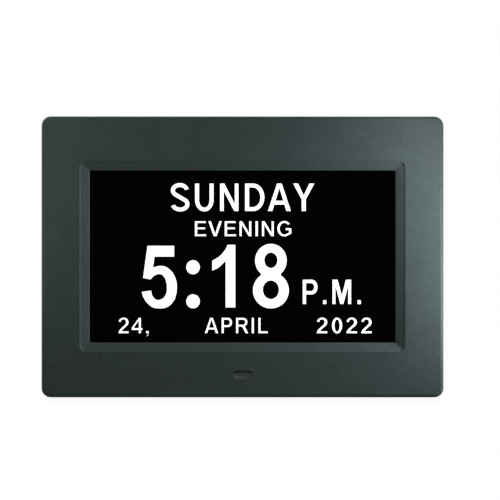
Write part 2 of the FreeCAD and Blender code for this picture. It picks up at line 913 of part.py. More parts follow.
def make_lcd_front_frame():
    rear = module_front + skirt_depth
    outside = block(module_width, module_height, module_front, rear, module_mid)
    inside = block(
        module_width - 2 * sheet, module_height - 2 * sheet, panel_front, rear + overcut, module_mid
    )
    opening = block(
        screen_width + 2 * frame_reveal,
        screen_height + 2 * frame_reveal,
        module_front - overcut,
        panel_front + overcut,
        screen_mid,
    )
    notch = block(
        flex_width + 2 * fit_gap,
        4 * sheet,
        panel_front,
        panel_rear,
        module_mid - module_height / 2,
        flex_x,
    )
    return outside.cut([inside, opening, notch])


def make_lcd_panel():
    """Two bonded sheets of glass. The rear one is longer, and carries the driver on its ledge."""
    width = module_width - 2 * glass_margin
    height = module_height - 2 * glass_margin
    middle = panel_front + glass_thickness
    front = block(width, height - ledge_height, panel_front, middle, module_mid + ledge_height / 2)
    rear = block(width, height, middle, panel_rear, module_mid)
    return joined(front, rear)


def make_panel_driver_chip():
    rear = panel_front + glass_thickness
    ledge_top = module_mid - module_height / 2 + glass_margin + ledge_height
    z = ledge_top - fit_gap - driver_chip_height / 2
    return block(flex_width, driver_chip_height, rear - sheet, rear, z, flex_x)


def make_panel_flex():
    half = flex_thickness / 2
    ledge = panel_front + glass_thickness
    low = module_mid - module_height / 2
    route = [
        (ledge - half, low + glass_margin + ledge_height / 3),
        (ledge - half, low - 2 * glass_margin),
        (module_rear + 4 * half, low - 2 * glass_margin),
        (module_rear + 4 * half, board_bottom - connector_depth),
        (board_front - connector_height / 2, board_bottom - half),
        (board_front - connector_height / 2, board_bottom + board_gap),
    ]
    return across(strip(route, flex_thickness), flex_x - flex_width / 2, flex_x + flex_width / 2)


def make_backlight_frame():
    outside = block(moulding_width, moulding_height, panel_rear, back_plate_front, module_mid)
    inside = block(
        light_width, light_height, panel_rear - overcut, back_plate_front + overcut, module_mid
    )
    return outside.cut(inside)


def make_optical_films():
    width = light_width - 2 * fit_gap
    height = light_height - 2 * fit_gap
    return block(width, height, panel_rear, guide_front, module_mid)


def make_light_guide():
    height = light_height - 2 * fit_gap - led_space
    return block(
        light_width - 2 * fit_gap, height, guide_front, guide_rear, module_mid + led_space / 2
    )


def make_reflector_sheet():
    return block(
        light_width - 2 * fit_gap, light_height - 2 * fit_gap, guide_rear, back_plate_front, module_mid
    )


def make_led_strip():
    """A narrow board along the bottom of the light guide, with a row of LEDs that shine up into it."""
    low = module_mid - light_height / 2
    length = light_width - 2 * led_length
    base = led_space / 4
    strip_board = block(length, base, guide_front, guide_rear, low + base / 2)
    pitch = length / led_count
    lamps = [
        block(
            led_length,
            led_space / 2,
            guide_front + guide_thickness / 6,
            guide_rear - guide_thickness / 6,
            low + base + led_space / 4,
            (i - (led_count - 1) / 2) * pitch,
        )
        for i in range(led_count)
    ]
    return joined(strip_board, *lamps)


def make_lcd_back_plate():
    return block(moulding_width, moulding_height, back_plate_front, module_rear, module_mid)


def make_lcd_brackets():
    brackets = []
    for x, z in bracket_places:
        inner = math.copysign(module_width / 2 - bracket_lap, x)
        outer = x + math.copysign(boss_radius, x)
        plate = block(
            abs(outer - inner),
            bracket_width,
            module_rear,
            module_rear + bracket_thickness,
            z,
            (outer + inner) / 2,
        )
        end = module_rear + bracket_thickness + overcut
        hole = stub(board_screw_shank + rib_gap, module_rear - overcut, end, x, z)
        brackets.append(plate.cut(hole))
    return Part.makeCompound(brackets)


def make_bracket_screws():
    seat = module_rear + bracket_thickness
    return Part.makeCompound(
        [
            screw(place, seat, -1, board_screw_head, board_screw_shank, board_screw_length)
            for place in bracket_places
        ]
    )


# ---- Main board -------------------------------------------------------------------------------------------
def on_board(width, height, thickness, x, z):
    """A plain component on the rear side of the main board."""
    return block(width, height, board_rear, board_rear + thickness, z, x)


def make_main_board():
    board = slab(
        board_right + board_left,
        board_height,
        board_gap,
        board_front,
        board_rear,
        (board_bottom + board_top) / 2,
        (board_right - board_left) / 2,
    )
    holes = [
        stub(board_screw_shank + rib_gap, board_front - overcut, board_rear + overcut, x, z)
        for x, z in board_screw_places
    ]
    return board.cut(holes)


def make_main_board_screws():
    return Part.makeCompound(
        [
            screw(place, board_front, 1, board_screw_head, board_screw_shank, board_screw_length)
            for place in board_screw_places
        ]
    )


def make_processor():
    return on_board(processor_size, processor_size, chip_height, 0, board_top - processor_size)


def make_memory_chips():
    z = board_top - 2 * processor_size - memory_length / 2
    x = (memory_width + board_gap) / 2
    return Part.makeCompound(
        [on_board(memory_width, memory_length, memory_height, side * x, z) for side in (-1, 1)]
    )


def make_crystal():
    x = -(processor_size + crystal_width) / 2 - board_gap
    return on_board(crystal_width, crystal_length, chip_height, x, board_top - processor_size)


def make_capacitors():
    x = recess_half + wall + capacitor_radius + board_gap
    cans = []
    foot_rear = board_rear + capacitor_foot
    for i in range(capacitor_count):
        z = jack_z - capacitor_radius + i * part_pitch
        can = stub(capacitor_radius, foot_rear, board_rear + capacitor_height, x, z, ring_sides)
        foot = on_board(2 * capacitor_radius, 2 * capacitor_radius, capacitor_foot, x, z)
        cans.append(joined(can, foot))
    return Part.makeCompound(cans)


def make_inductor():
    x = recess_half + wall + 2 * capacitor_radius + inductor_size / 2 + 2 * board_gap
    return on_board(inductor_size, inductor_size, inductor_height, x, jack_z - part_pitch / 2)


def make_panel_connector():
    width = flex_width + 2 * board_gap
    body = block(
        width,
        connector_depth,
        board_front - connector_height,
        board_front,
        board_bottom + connector_depth / 2,
        flex_x,
    )
    mouth = block(
        flex_width + 2 * fit_gap,
        2 * board_gap,
        board_front - connector_height / 2 - flex_thickness,
        board_front - connector_height / 2 + flex_thickness,
        board_bottom,
        flex_x,
    )
    return body.cut(mouth)


def make_coin_cell_holder():
    """An open cup on the front side of the board, cut away at the top so that the cell comes out."""
    cup = stub(cell_radius + rib_thickness, cell_front, board_front, 0, cell_z, ring_sides)
    pocket = stub(
        cell_radius + fit_gap, cell_front - overcut, board_front - cell_floor, 0, cell_z, ring_sides
    )
    gap = block(
        cell_radius, 2 * cell_radius, cell_front - overcut, board_front - cell_floor, cell_z + cell_radius
    )
    return cup.cut([pocket, gap])


def make_coin_cell():
    return stub(cell_radius, cell_front, board_front - cell_floor, 0, cell_z, ring_sides)


# ---- Sockets ----------------------------------------------------------------------------------------------
def make_dc_jack():
    mouth = pod_side(jack_y) - port_recess
    wall_inside = pod_side(board_rear + jack_body) - wall
    start = wall_inside - jack_length
    body = block(
        jack_length, jack_width, board_rear, board_rear + jack_body, jack_z, start + jack_length / 2
    )
    collar = Part.makeCylinder(jack_collar, mouth - start, Vector(start, jack_y, jack_z), Vector(1, 0, 0))
    bore = Part.makeCylinder(
        jack_bore, mouth - start, Vector(start + wall, jack_y, jack_z), Vector(1, 0, 0)
    )
    return joined(body, collar).cut(bore)


def make_dc_jack_pin():
    mouth = pod_side(jack_y) - port_recess
    start = pod_side(board_rear + jack_body) - wall - jack_length + wall
    length = mouth - start - 2 * port_recess
    return Part.makeCylinder(jack_pin_radius, length, Vector(start, jack_y, jack_z), Vector(1, 0, 0))


def socket_shell(width, height, length, thickness, z):
    """A folded steel box, open towards the side of the pod."""
    mouth = pod_side(board_rear + height) - port_recess
    outside = block(length, width, board_rear, board_rear + height, z, mouth - length / 2)
    inside = block(
        length,
        width - 2 * thickness,
        board_rear + thickness,
        board_rear + height - thickness,
        z,
        mouth - length / 2 + thickness,
    )
    return outside.cut(inside)


def make_usb_socket():
    return socket_shell(usb_width, usb_height, usb_length, usb_sheet, usb_z)


def make_usb_tongue():
    """The contact tongue, and the moulded block that fills the back of the socket and carries it."""
    mouth = pod_side(board_rear + usb_height) - port_recess
    back = mouth - usb_length + usb_sheet
    carrier = block(
        usb_block_length,
        usb_width - 2 * usb_sheet,
        board_rear + usb_sheet,
        board_rear + usb_height - usb_sheet,
        usb_z,
        back + usb_block_length / 2,
    )
    length = usb_length - usb_sheet - usb_tongue_set_back
    rear = board_rear + usb_height - usb_sheet - usb_tongue_gap
    tongue = block(
        length, usb_tongue_width, rear - usb_tongue_thickness, rear, usb_z, back + length / 2
    )
    return joined(carrier, tongue)


def make_card_socket():
    return socket_shell(card_width, card_height, card_length, card_sheet, card_z)


# ---- Keys -------------------------------------------------------------------------------------------------
def make_key_board():
    middle = (key_board_top + key_board_low) / 2
    board = block(
        key_board_width,
        key_board_top - key_board_low,
        key_board_front,
        key_board_rear,
        middle,
        -column_x,
    )
    holes = [
        stub(small_screw_shank, key_board_front - overcut, key_board_rear + overcut, x, z)
        for x, z in key_screw_places
    ]
    return board.cut(holes)


def make_key_switches():
    switches = []
    for z in key_places:
        body = block(switch_size, switch_size, key_board_rear, switch_rear, z, -column_x)
        well = stub(
            plunger_radius + plunger_gap,
            plunger_front - key_travel - plunger_float,
            switch_rear + overcut,
            -column_x,
            z,
        )
        switches.append(body.cut(well))
    return Part.makeCompound(switches)


def key_prism(margin, front, rear, z):
    """The outline of a key, widened by a margin, drawn out along y."""
    width, height = key_width + 2 * margin, key_height + 2 * margin
    return prism(bevelled(width, height, key_bevel + margin / 2, front, z, -column_x), rear - front)


def make_key(z):
    """A key cap with a flange that keeps it from falling out."""
    cap = key_prism(0, key_flange_rear, pod_rear + key_proud, z)
    flange = block(
        key_width + 2 * flange_width,
        key_height + 2 * flange_width,
        key_flange_front,
        key_flange_rear,
        z,
        -column_x,
    )
    return joined(cap, flange)


def make_plunger(z):
    return stub(plunger_radius, plunger_front, key_flange_front, -column_x, z)


def make_key_cable():
    """A flat cable from the front of the key board to the front of the main board."""
    half = cable_thickness / 2
    start = -column_x + key_board_width / 2
    route = [
        (start - part_pitch / 2, key_board_front - half),
        (start + board_gap, key_board_front - half),
        (-board_left - board_gap, board_front - half),
        (-board_left + part_pitch / 2, board_front - half),
    ]
    z = (board_bottom + board_top - cable_width) / 2
    corners = [Vector(x, y, z) for x, y in strip(route, cable_thickness)]
    face = Part.Face(Part.makePolygon(corners + corners[:1]))
    return face.extrude(Vector(0, 0, cable_width))


def make_small_screws():
    """The screws of the receiver board, the key board and the loudspeaker."""
    sizes = (small_screw_head, small_screw_shank, small_screw_length)
    screws = [screw(place, ir_board_rear, -1, *sizes) for place in ir_screw_places]
    screws += [screw(place, key_board_front, 1, *sizes) for place in key_screw_places]
    screws += [screw(place, speaker_front, 1, *sizes) for place in speaker_screw_places]
    return Part.makeCompound(screws)


# ---- Loudspeaker ------------------------------------------------------------------------------------------
def turned(profile, x, z):
    """A closed profile of (radius, y) points carried round an axis along y in flat facets."""
    turns = [math.tau * (i + 0.5) / ring_sides for i in range(ring_sides)]
    rings = [
        [Vector(x + radius * math.cos(turn), y, z + radius * math.sin(turn)) for turn in turns]
        for radius, y in profile
    ]
    facets = []
    for near_ring, far_ring in zip(rings, rings[1:] + rings[:1]):
        for i in range(ring_sides):
            corners = [near_ring[i - 1], near_ring[i], far_ring[i], far_ring[i - 1], near_ring[i - 1]]
            facets.append(Part.Face(Part.makePolygon(corners)))
    solid = Part.Solid(Part.Shell(facets))
    if solid.Volume < 0:
        solid.reverse()
    return solid


def make_speaker_frame():
    """A pressed basket with a flat flange, open in the middle for the cone."""
    deep = speaker_front - speaker_basket_depth
    opening = speaker_radius - speaker_rim
    profile = [
        (speaker_radius, speaker_rear),
        (speaker_radius, speaker_front),
        (opening + speaker_sheet, speaker_front),
        (speaker_basket_radius, deep),
        (speaker_sheet, deep),
        (speaker_sheet, deep + speaker_sheet),
        (speaker_basket_radius - speaker_sheet, deep + speaker_sheet),
        (opening, speaker_front + speaker_sheet),
        (opening, speaker_rear),
    ]
    basket = turned(profile, column_x, speaker_z)
    ears = []
    for x, z in speaker_screw_places:
        ear = stub(speaker_ear, speaker_front, speaker_rear, x, z)
        hole = stub(small_screw_shank, speaker_front - overcut, speaker_rear + overcut, x, z)
        inside = stub(
            speaker_radius - speaker_sheet, speaker_front, speaker_rear, column_x, speaker_z, ring_sides
        )
        ears.append(ear.cut([hole, inside]))
    return joined(basket, *ears)


def make_speaker_magnet():
    rear = speaker_front - speaker_basket_depth
    return stub(magnet_radius, rear - magnet_thickness, rear, column_x, speaker_z, ring_sides)


def make_speaker_cone():
    deep = speaker_front - speaker_basket_depth / 2
    reach = speaker_radius - speaker_rim
    profile = [
        (reach, speaker_front + speaker_sheet),
        (cone_neck_radius, deep),
        (speaker_sheet, deep + 2 * cone_thickness),
        (speaker_sheet, deep + 3 * cone_thickness),
        (cone_neck_radius, deep + cone_thickness),
        (reach - cone_thickness, speaker_rear),
        (reach, speaker_rear),
    ]
    return turned(profile, column_x, speaker_z)


def make_speaker_gasket():
    inner = speaker_radius - speaker_rim
    profile = [
        (speaker_radius, speaker_rear),
        (speaker_radius, pod_inner),
        (inner, pod_inner),
        (inner, speaker_rear),
    ]
    return turned(profile, column_x, speaker_z)


def make_speaker_leads():
    """A flat two-core lead from the rim of the loudspeaker to the rear face of the main board."""
    half = lead_thickness / 2
    rim = speaker_z + speaker_radius - speaker_rim + speaker_sheet
    route = [
        (speaker_front - half, rim),
        (speaker_front - half, board_bottom + half),
        (board_rear + half, board_bottom + board_gap + half),
        (board_rear + half, board_bottom + 2 * board_gap + half),
    ]
    x = column_x - lead_width / 2
    return across(strip(route, lead_thickness), x, x + lead_width)


# ---- Stand ------------------------------------------------------------------------------------------------
def leg_outline(margin, top, low):
    """The leg's tapering outline between two distances below the hinge axis, drawn in by a margin."""
    grow = (leg_bottom_width - leg_top_width) / leg_length / 2
    high = leg_top_width / 2 - margin + grow * top
    foot = leg_top_width / 2 - margin + grow * low
    return [(-high, -top), (high, -top), (foot, -low), (-foot, -low)]


def open_leg(shape):
    """Moves a shape from the leg's own folded frame to its place on the opened stand."""
    shape.rotate(Vector(0, 0, 0), Vector(1, 0, 0), stand_angle)
    shape.translate(Vector(0, axis_y, hinge_z))
    return shape


def above_floor(level):
    """All of the space above a level, in the upright frame of the clock."""
    size = 4 * body_width
    space = Part.makeBox(size, size, size, Vector(-size / 2, -size / 2, floor_level + level))
    space.rotate(Vector(0, 0, 0), Vector(1, 0, 0), lean_angle)
    return space


def leg_blank():
    """The leg as a plain tapered bar that runs on below the floor."""
    blank = upright_prism(leg_outline(0, 0, leg_length + leg_thickness), leg_inner, leg_outer)
    edges = [edge for edge in flat_edges(blank, leg_outer) if edge.BoundBox.ZLength > leg_length / 2]
    return blank.makeFillet(leg_roundover, edges)


def make_stand_leg():
    blank = leg_blank()
    barrel = Part.makeCylinder(
        barrel_radius, leg_top_width, Vector(-leg_top_width / 2, 0, 0), Vector(1, 0, 0)
    )
    pockets = []
    bay = (leg_length - leg_solid_toe - leg_solid_top + leg_rib) / leg_bays
    for i in range(leg_bays):
        top = leg_solid_top + i * bay
        outline = leg_outline(leg_rib, top, top + bay - leg_rib)
        pockets.append(upright_prism(outline, leg_inner - overcut, leg_outer - leg_skin))
    bores = [
        Part.makeCylinder(
            pin_radius + pin_clearance,
            pin_engagement + leg_rib,
            Vector(side * (leg_top_width / 2 - pin_engagement - leg_rib / 2), 0, 0),
            Vector(side, 0, 0),
        )
        for side in (-1, 1)
    ]
    leg = joined(blank, barrel).cut(pockets)
    leg = open_leg(leg)
    reach = axis_y - recess_floor - stop_clearance
    heel = across(
        [
            (axis_y - reach, hinge_z),
            (axis_y - reach, hinge_z + heel_length),
            (axis_y - reach / 2, hinge_z + heel_length),
            (axis_y + barrel_radius / 2, hinge_z + barrel_radius / 2),
            (axis_y, hinge_z - barrel_radius / 2),
        ],
        -leg_top_width / 2,
        leg_top_width / 2,
    )
    leg = joined(leg, heel).cut([open_leg(bore) for bore in bores])
    return leg.common(above_floor(sole_thickness))


def make_leg_sole():
    """The rubber end of the leg, flat on the surface when the stand is open."""
    bar = open_leg(leg_blank())
    return bar.common(above_floor(0)).cut(above_floor(sole_thickness))


def make_hinge_pins():
    pins = []
    for side in (-1, 1):
        start = Vector(side * (leg_top_width / 2 - pin_engagement), axis_y, hinge_z)
        pins.append(
            Part.makeCylinder(pin_radius, pin_engagement + leg_gap + pin_seat, start, Vector(side, 0, 0))
        )
    return Part.makeCompound(pins)


# ---- All the pieces ---------------------------------------------------------------------------------------
pieces = {
    "front_bezel": make_front_bezel(),
    "rear_cover": make_rear_cover(),
    "rear_cover_screws": make_cover_screws(),
    "rubber_feet": make_rubber_feet(),
    "ir_window": make_ir_window(),
    "ir_receiver": make_ir_receiver(),
    "ir_board": make_ir_board(),
    "ir_cable": make_ir_cable(),
    "screen_gasket": make_screen_gasket(),
    "lcd_front_frame": make_lcd_front_frame(),
    "lcd_panel": make_lcd_panel(),
    "panel_driver_chip": make_panel_driver_chip(),
    "panel_flex": make_panel_flex(),
    "backlight_frame": make_backlight_frame(),
    "optical_films": make_optical_films(),
    "light_guide": make_light_guide(),
    "led_strip": make_led_strip(),
    "reflector_sheet": make_reflector_sheet(),
    "lcd_back_plate": make_lcd_back_plate(),
    "lcd_brackets": make_lcd_brackets(),
    "lcd_bracket_screws": make_bracket_screws(),
    "main_board": make_main_board(),
    "main_board_screws": make_main_board_screws(),
    "processor": make_processor(),
    "memory_chips": make_memory_chips(),
    "crystal": make_crystal(),
    "capacitors": make_capacitors(),
    "inductor": make_inductor(),
    "panel_connector": make_panel_connector(),
    "coin_cell_holder": make_coin_cell_holder(),
    "coin_cell": make_coin_cell(),
    "dc_jack": make_dc_jack(),
    "dc_jack_pin": make_dc_jack_pin(),
    "usb_socket": make_usb_socket(),
    "usb_tongue": make_usb_tongue(),
    "card_socket": make_card_socket(),
    "key_board": make_key_board(),
    "key_switches": make_key_switches(),
    "key_cable": make_key_cable(),
    "small_screws": make_small_screws(),
    "speaker_frame": make_speaker_frame(),
    "speaker_magnet": make_speaker_magnet(),
    "speaker_cone": make_speaker_cone(),
    "speaker_gasket": make_speaker_gasket(),
    "speaker_leads": make_speaker_leads(),
    "stand_leg": make_stand_leg(),
    "leg_sole": make_leg_sole(),
    "hinge_pins": make_hinge_pins(),
}
for key_name, key_z in zip(key_names, key_places):
    pieces["key_" + key_name] = make_key(key_z)
    pieces["plunger_" + key_name] = make_plunger(key_z)

# The clock leans back on its stand, with the middle of its footprint over the origin.
for piece in pieces.values():
    piece.rotate(Vector(0, 0, 0), Vector(1, 0, 0), -lean_angle)
bounds = Part.makeCompound(list(pieces.values())).optimalBoundingBox(False, False)
stand_place = Vector(-bounds.Center.x, -bounds.Center.y, -floor_level)

os.makedirs("parts", exist_ok=True)
for name, piece in pieces.items():
    piece.translate(stand_place)
    piece.exportStep(os.path.join("parts", name + ".step"))
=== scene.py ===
"""Day clock: the finishes, the lettering of the display and the fine trim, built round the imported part.

New pieces are modelled in the clock's own upright frame and then leaned back with it. There x runs across
the face, y from the face to the back and z up the face. Sizes are in metres.
"""

import json
import logging
import math
from contextlib import contextmanager
from dataclasses import dataclass, field
from enum import Enum
from typing import Any, Callable, Iterable, Iterator, Mapping, Sequence

import bmesh
import bpy
from mathutils import Matrix, Vector


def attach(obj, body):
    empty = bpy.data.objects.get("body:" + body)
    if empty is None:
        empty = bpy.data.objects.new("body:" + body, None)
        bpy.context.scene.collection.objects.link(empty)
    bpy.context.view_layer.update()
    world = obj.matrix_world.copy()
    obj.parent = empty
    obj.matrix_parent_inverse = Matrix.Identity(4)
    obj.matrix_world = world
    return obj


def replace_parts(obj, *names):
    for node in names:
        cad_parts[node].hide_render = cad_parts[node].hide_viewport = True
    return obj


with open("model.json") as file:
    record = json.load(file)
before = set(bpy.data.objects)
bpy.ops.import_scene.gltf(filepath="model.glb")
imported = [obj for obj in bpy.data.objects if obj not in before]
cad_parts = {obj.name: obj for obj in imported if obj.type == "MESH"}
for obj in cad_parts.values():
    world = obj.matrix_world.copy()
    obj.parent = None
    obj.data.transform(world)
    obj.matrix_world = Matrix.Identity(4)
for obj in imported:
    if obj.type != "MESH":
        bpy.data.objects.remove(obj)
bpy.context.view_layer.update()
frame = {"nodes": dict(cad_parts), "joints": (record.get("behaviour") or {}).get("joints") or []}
MM = 0.001
HAIR = 0.01 * MM  # places nearer than this are the same
WELD = 0.001 * MM  # points nearer than this become one
BEDDING = 2.2  # a thin relief's thickness over the height of its middle, which lets it in a little
Point = tuple[float, float]
Contour = list[Point]
Colour = tuple[float, float, float]
Glyphs = dict[str, tuple[list[Contour], float, float]]  # outlines, room on the left and advance
Owner = bpy.types.Material | bpy.types.World
WHITE: Colour = (255, 255, 255)
log = logging.getLogger("day_clock")


class Body(Enum):
    """The moving bodies that new pieces ride on, apart from the keys."""

    CASE = "case"
    STAND = "stand"


class Slot(Enum):
    """Names of material slots, which no piece in this script takes its finish from."""

    CASE = "case_plastic"
    KEY = "key_plastic"
    RUBBER = "foot_rubber"
    SCREW = "screw_steel"
    BRIGHT = "bright_steel"
    GLASS = "screen_glass"
    FILTER = "ir_filter"


# ---- The clock's own frame --------------------------------------------------------------------------------
class FaceFrame:
    """The upright frame of the clock, in which its face is a plane across y."""

    def __init__(self, pressed_joint: str) -> None:
        """Takes the lean of the face from the direction in which a key is pressed.

        Args:
            pressed_joint: the slide joint of a key, whose axis points straight out of the face.
        """
        joint = next(joint for joint in frame["joints"] if joint["name"] == pressed_joint)
        self.out: Vector = Vector(joint["axis"]).normalized()
        self.right: Vector = Vector((1.0, 0.0, 0.0))
        self.up: Vector = self.out.cross(self.right)
        self.turn: Matrix = Matrix.Rotation(-math.atan2(self.out.z, -self.out.y), 4, "X")

    def solids(self, node: str) -> list[tuple[Vector, Vector]]:
        """The lowest and highest corner of every separate solid of a node, in the upright frame.

        Args:
            node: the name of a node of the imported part.

        Returns:
            One pair of corners for each solid, from left to right and from low to high.
        """
        shape = bmesh.new()
        shape.from_mesh(frame["nodes"][node].data)
        bmesh.ops.remove_doubles(shape, verts=shape.verts, dist=WELD)
        shape.transform(self.turn.inverted())
        left = set(shape.verts)
        boxes = []
        while left:
            cluster, waiting = [], [left.pop()]
            while waiting:
                vertex = waiting.pop()
                cluster.append(vertex.co.copy())
                found = {edge.other_vert(vertex) for edge in vertex.link_edges} & left
                left -= found
                waiting += found
            low = Vector([min(spot[axis] for spot in cluster) for axis in range(3)])
            high = Vector([max(spot[axis] for spot in cluster) for axis in range(3)])
            boxes.append((low, high))
        shape.free()
        return sorted(boxes, key=lambda box: (round(box[0].x, 4), round(box[0].z, 4)))

    def box(self, node: str) -> tuple[Vector, Vector]:
        """The box of a whole node in the upright frame.

        Args:
            node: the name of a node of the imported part.

        Returns:
            Its lowest and its highest corner.
        """
        boxes = self.solids(node)
        low = Vector([min(box[0][axis] for box in boxes) for axis in range(3)])
        high = Vector([max(box[1][axis] for box in boxes) for axis in range(3)])
        return low, high

    def middle(self, node: str) -> Vector:
        """The middle of a node's box in the upright frame."""
        low, high = self.box(node)
        return (low + high) / 2


# ---- Modelling --------------------------------------------------------------------------------------------
def deselect() -> None:
    """Leaves nothing selected, so that an operator acts on the next piece alone."""
    bpy.ops.object.select_all(action="DESELECT")


def select(piece: bpy.types.Object) -> None:
    """Makes one object the only selected and the active one.

    Args:
        piece: the object.
    """
    deselect()
    piece.select_set(True)
    bpy.context.view_layer.objects.active = piece


@contextmanager
def editing(piece: bpy.types.Object, mode: str = "EDGE") -> Iterator[bmesh.types.BMesh]:
    """Opens a piece in edit mode with nothing selected.

    Args:
        piece: the object to edit.
        mode: which elements are selected, VERT, EDGE or FACE.

    Yields:
        The piece's mesh in edit mode.
    """
    select(piece)
    bpy.ops.object.mode_set(mode="EDIT")
    bpy.ops.mesh.select_mode(type=mode)
    bpy.ops.mesh.select_all(action="DESELECT")
    yield bmesh.from_edit_mesh(piece.data)
    bpy.ops.object.mode_set(mode="OBJECT")


def choose(piece: bpy.types.Object, elements: Iterable[Any]) -> int:
    """Selects some vertices, edges or faces in edit mode.

    Args:
        piece: the object in edit mode.
        elements: its vertices, edges or faces.

    Returns:
        How many were selected.
    """
    count = 0
    for element in elements:
        element.select_set(True)
        count += 1
    bmesh.update_edit_mesh(piece.data)
    return count


def is_sharp(edge: bmesh.types.BMEdge, angle: float = 25.0) -> bool:
    """Whether the two faces at an edge meet at more than an angle, in degrees."""
    return len(edge.link_faces) == 2 and edge.calc_face_angle(0.0) > math.radians(angle)


def soften(
    piece: bpy.types.Object, radius: float, where: Callable[[Vector, Vector], bool], segments: int = 3
) -> None:
    """Rounds the sharp edges of a piece that lie in some place.

    Args:
        piece: the object, modelled in the upright frame.
        radius: how far the rounding reaches from each edge.
        where: whether an edge with these two ends is rounded.
        segments: the steps of the rounding.
    """
    with editing(piece) as shape:
        found = [
            edge for edge in shape.edges if is_sharp(edge) and where(edge.verts[0].co, edge.verts[1].co)
        ]
        if choose(piece, found):
            bpy.ops.mesh.bevel(offset=radius, segments=segments, affect="EDGES", clamp_overlap=True)
        log.info("%s: %d edges rounded", piece.name, len(found))


def merge_and_mend(piece: bpy.types.Object, flat: float = 0.6) -> None:
    """Joins loose triangles and dissolves the lines across flat faces.

    Args:
        piece: the object.
        flat: the angle in degrees up to which faces count as one.
    """
    with editing(piece, "VERT"):
        bpy.ops.mesh.select_all(action="SELECT")
        bpy.ops.mesh.remove_doubles(threshold=2 * WELD)
        bpy.ops.mesh.dissolve_limited(angle_limit=math.radians(flat))


def face_out(piece: bpy.types.Object) -> None:
    """Merges what coincides and turns every face of a closed piece outwards."""
    with editing(piece, "FACE"):
        bpy.ops.mesh.select_all(action="SELECT")
        bpy.ops.mesh.remove_doubles(threshold=WELD)
        bpy.ops.mesh.normals_make_consistent(inside=False)


def apply_modifiers(piece: bpy.types.Object) -> None:
    """Applies every modifier of a piece."""
    select(piece)
    for modifier in list(piece.modifiers):
        bpy.ops.object.modifier_apply(modifier=modifier.name)


def smooth(piece: bpy.types.Object, angle: float = 32.0) -> None:
    """Shades a piece smooth, with its large faces flat and its sharp edges kept.

    Args:
        piece: the object.
        angle: the angle in degrees from which an edge is sharp.
    """
    select(piece)
    bpy.ops.object.shade_smooth_by_angle(angle=math.radians(angle))
    weighted = piece.modifiers.new("flat_faces", "WEIGHTED_NORMAL")
    weighted.keep_sharp = True
    apply_modifiers(piece)


def cut(piece: bpy.types.Object, tool: bpy.types.Object) -> None:
    """Takes the shape of a tool out of a piece.

    Args:
        piece: the object.
        tool: the object that is cut out of it and then removed.
    """
    modifier = piece.modifiers.new("cut", "BOOLEAN")
    modifier.operation = "DIFFERENCE"
    modifier.solver = "EXACT"
    modifier.object = tool
    apply_modifiers(piece)
    bpy.data.objects.remove(tool)


def join(name: str, parts: Sequence[bpy.types.Object]) -> bpy.types.Object:
    """Joins several objects into one.

    Args:
        name: the name of the result.
        parts: the objects.

    Returns:
        The joined object.
    """
    deselect()
    for part in parts:
        part.select_set(True)
    bpy.context.view_layer.objects.active = parts[0]
    bpy.ops.object.join()
    parts[0].name = name
    return parts[0]


def settle(piece: bpy.types.Object, matrix: Matrix = Matrix.Identity(4)) -> bpy.types.Object:
    """Puts a piece's place into its mesh, and leaves its object at the origin.

    Args:
        piece: the object.
        matrix: what the mesh is moved by after its object's own place.

    Returns:
        The piece.
    """
    piece.data.transform(matrix @ piece.matrix_basis)
    piece.matrix_basis = Matrix.Identity(4)
    return piece


def copy_node(face: FaceFrame, node: str, name: str) -> bpy.types.Object:
    """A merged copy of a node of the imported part, stood upright.

    Args:
        face: the clock's frame.
        node: the node's name.
        name: the name of the new piece.

    Returns:
        The new object, which stands for the node.
    """
    piece = bpy.data.objects.new(name, frame["nodes"][node].data.copy())
    bpy.context.scene.collection.objects.link(piece)
    piece.data.materials.clear()
    settle(piece, face.turn.inverted())
    merge_and_mend(piece)
    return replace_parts(piece, node)


def add_block(low: Vector, high: Vector) -> bpy.types.Object:
    """A cube primitive between two corners, for a cutter or a blank.

    Args:
        low: its lowest corner.
        high: its highest corner.

    Returns:
        The new object.
    """
    deselect()
    bpy.ops.mesh.primitive_cube_add(size=1.0, location=(low + high) / 2, scale=high - low)
    return settle(bpy.context.active_object)


def add_disc(radius: float, front: float, rear: float, middle: Vector, sides: int) -> bpy.types.Object:
    """A cylinder primitive with its axis along y.

    Args:
        radius: the radius.
        front: the y of its front face.
        rear: the y of its rear face.
        middle: a point of its axis.
        sides: how many sides it has.

    Returns:
        The new object.
    """
    deselect()
    bpy.ops.mesh.primitive_cylinder_add(
        vertices=sides,
        radius=radius,
        depth=rear - front,
        location=(middle.x, (front + rear) / 2, middle.z),
        rotation=(math.pi / 2, 0.0, 0.0),
    )
    return settle(bpy.context.active_object)


# ---- Outlines ---------------------------------------------------------------------------------------------
def box(left: float, low: float, right: float, high: float) -> Contour:
    """A rectangle's outline."""
    return [(left, low), (right, low), (right, high), (left, high)]


def arc(middle: Point, reach: Point, start: float, end: float, steps: int = 14) -> Contour:
    """Points along an arc of an ellipse.

    Args:
        middle: its centre.
        reach: its radii along x and y.
        start: the angle in degrees at which it starts.
        end: the angle at which it ends.
        steps: how many steps it is divided in.

    Returns:
        The points.
    """
    turns = [math.radians(start + (end - start) * step / steps) for step in range(steps + 1)]
    return [(middle[0] + reach[0] * math.cos(t), middle[1] + reach[1] * math.sin(t)) for t in turns]


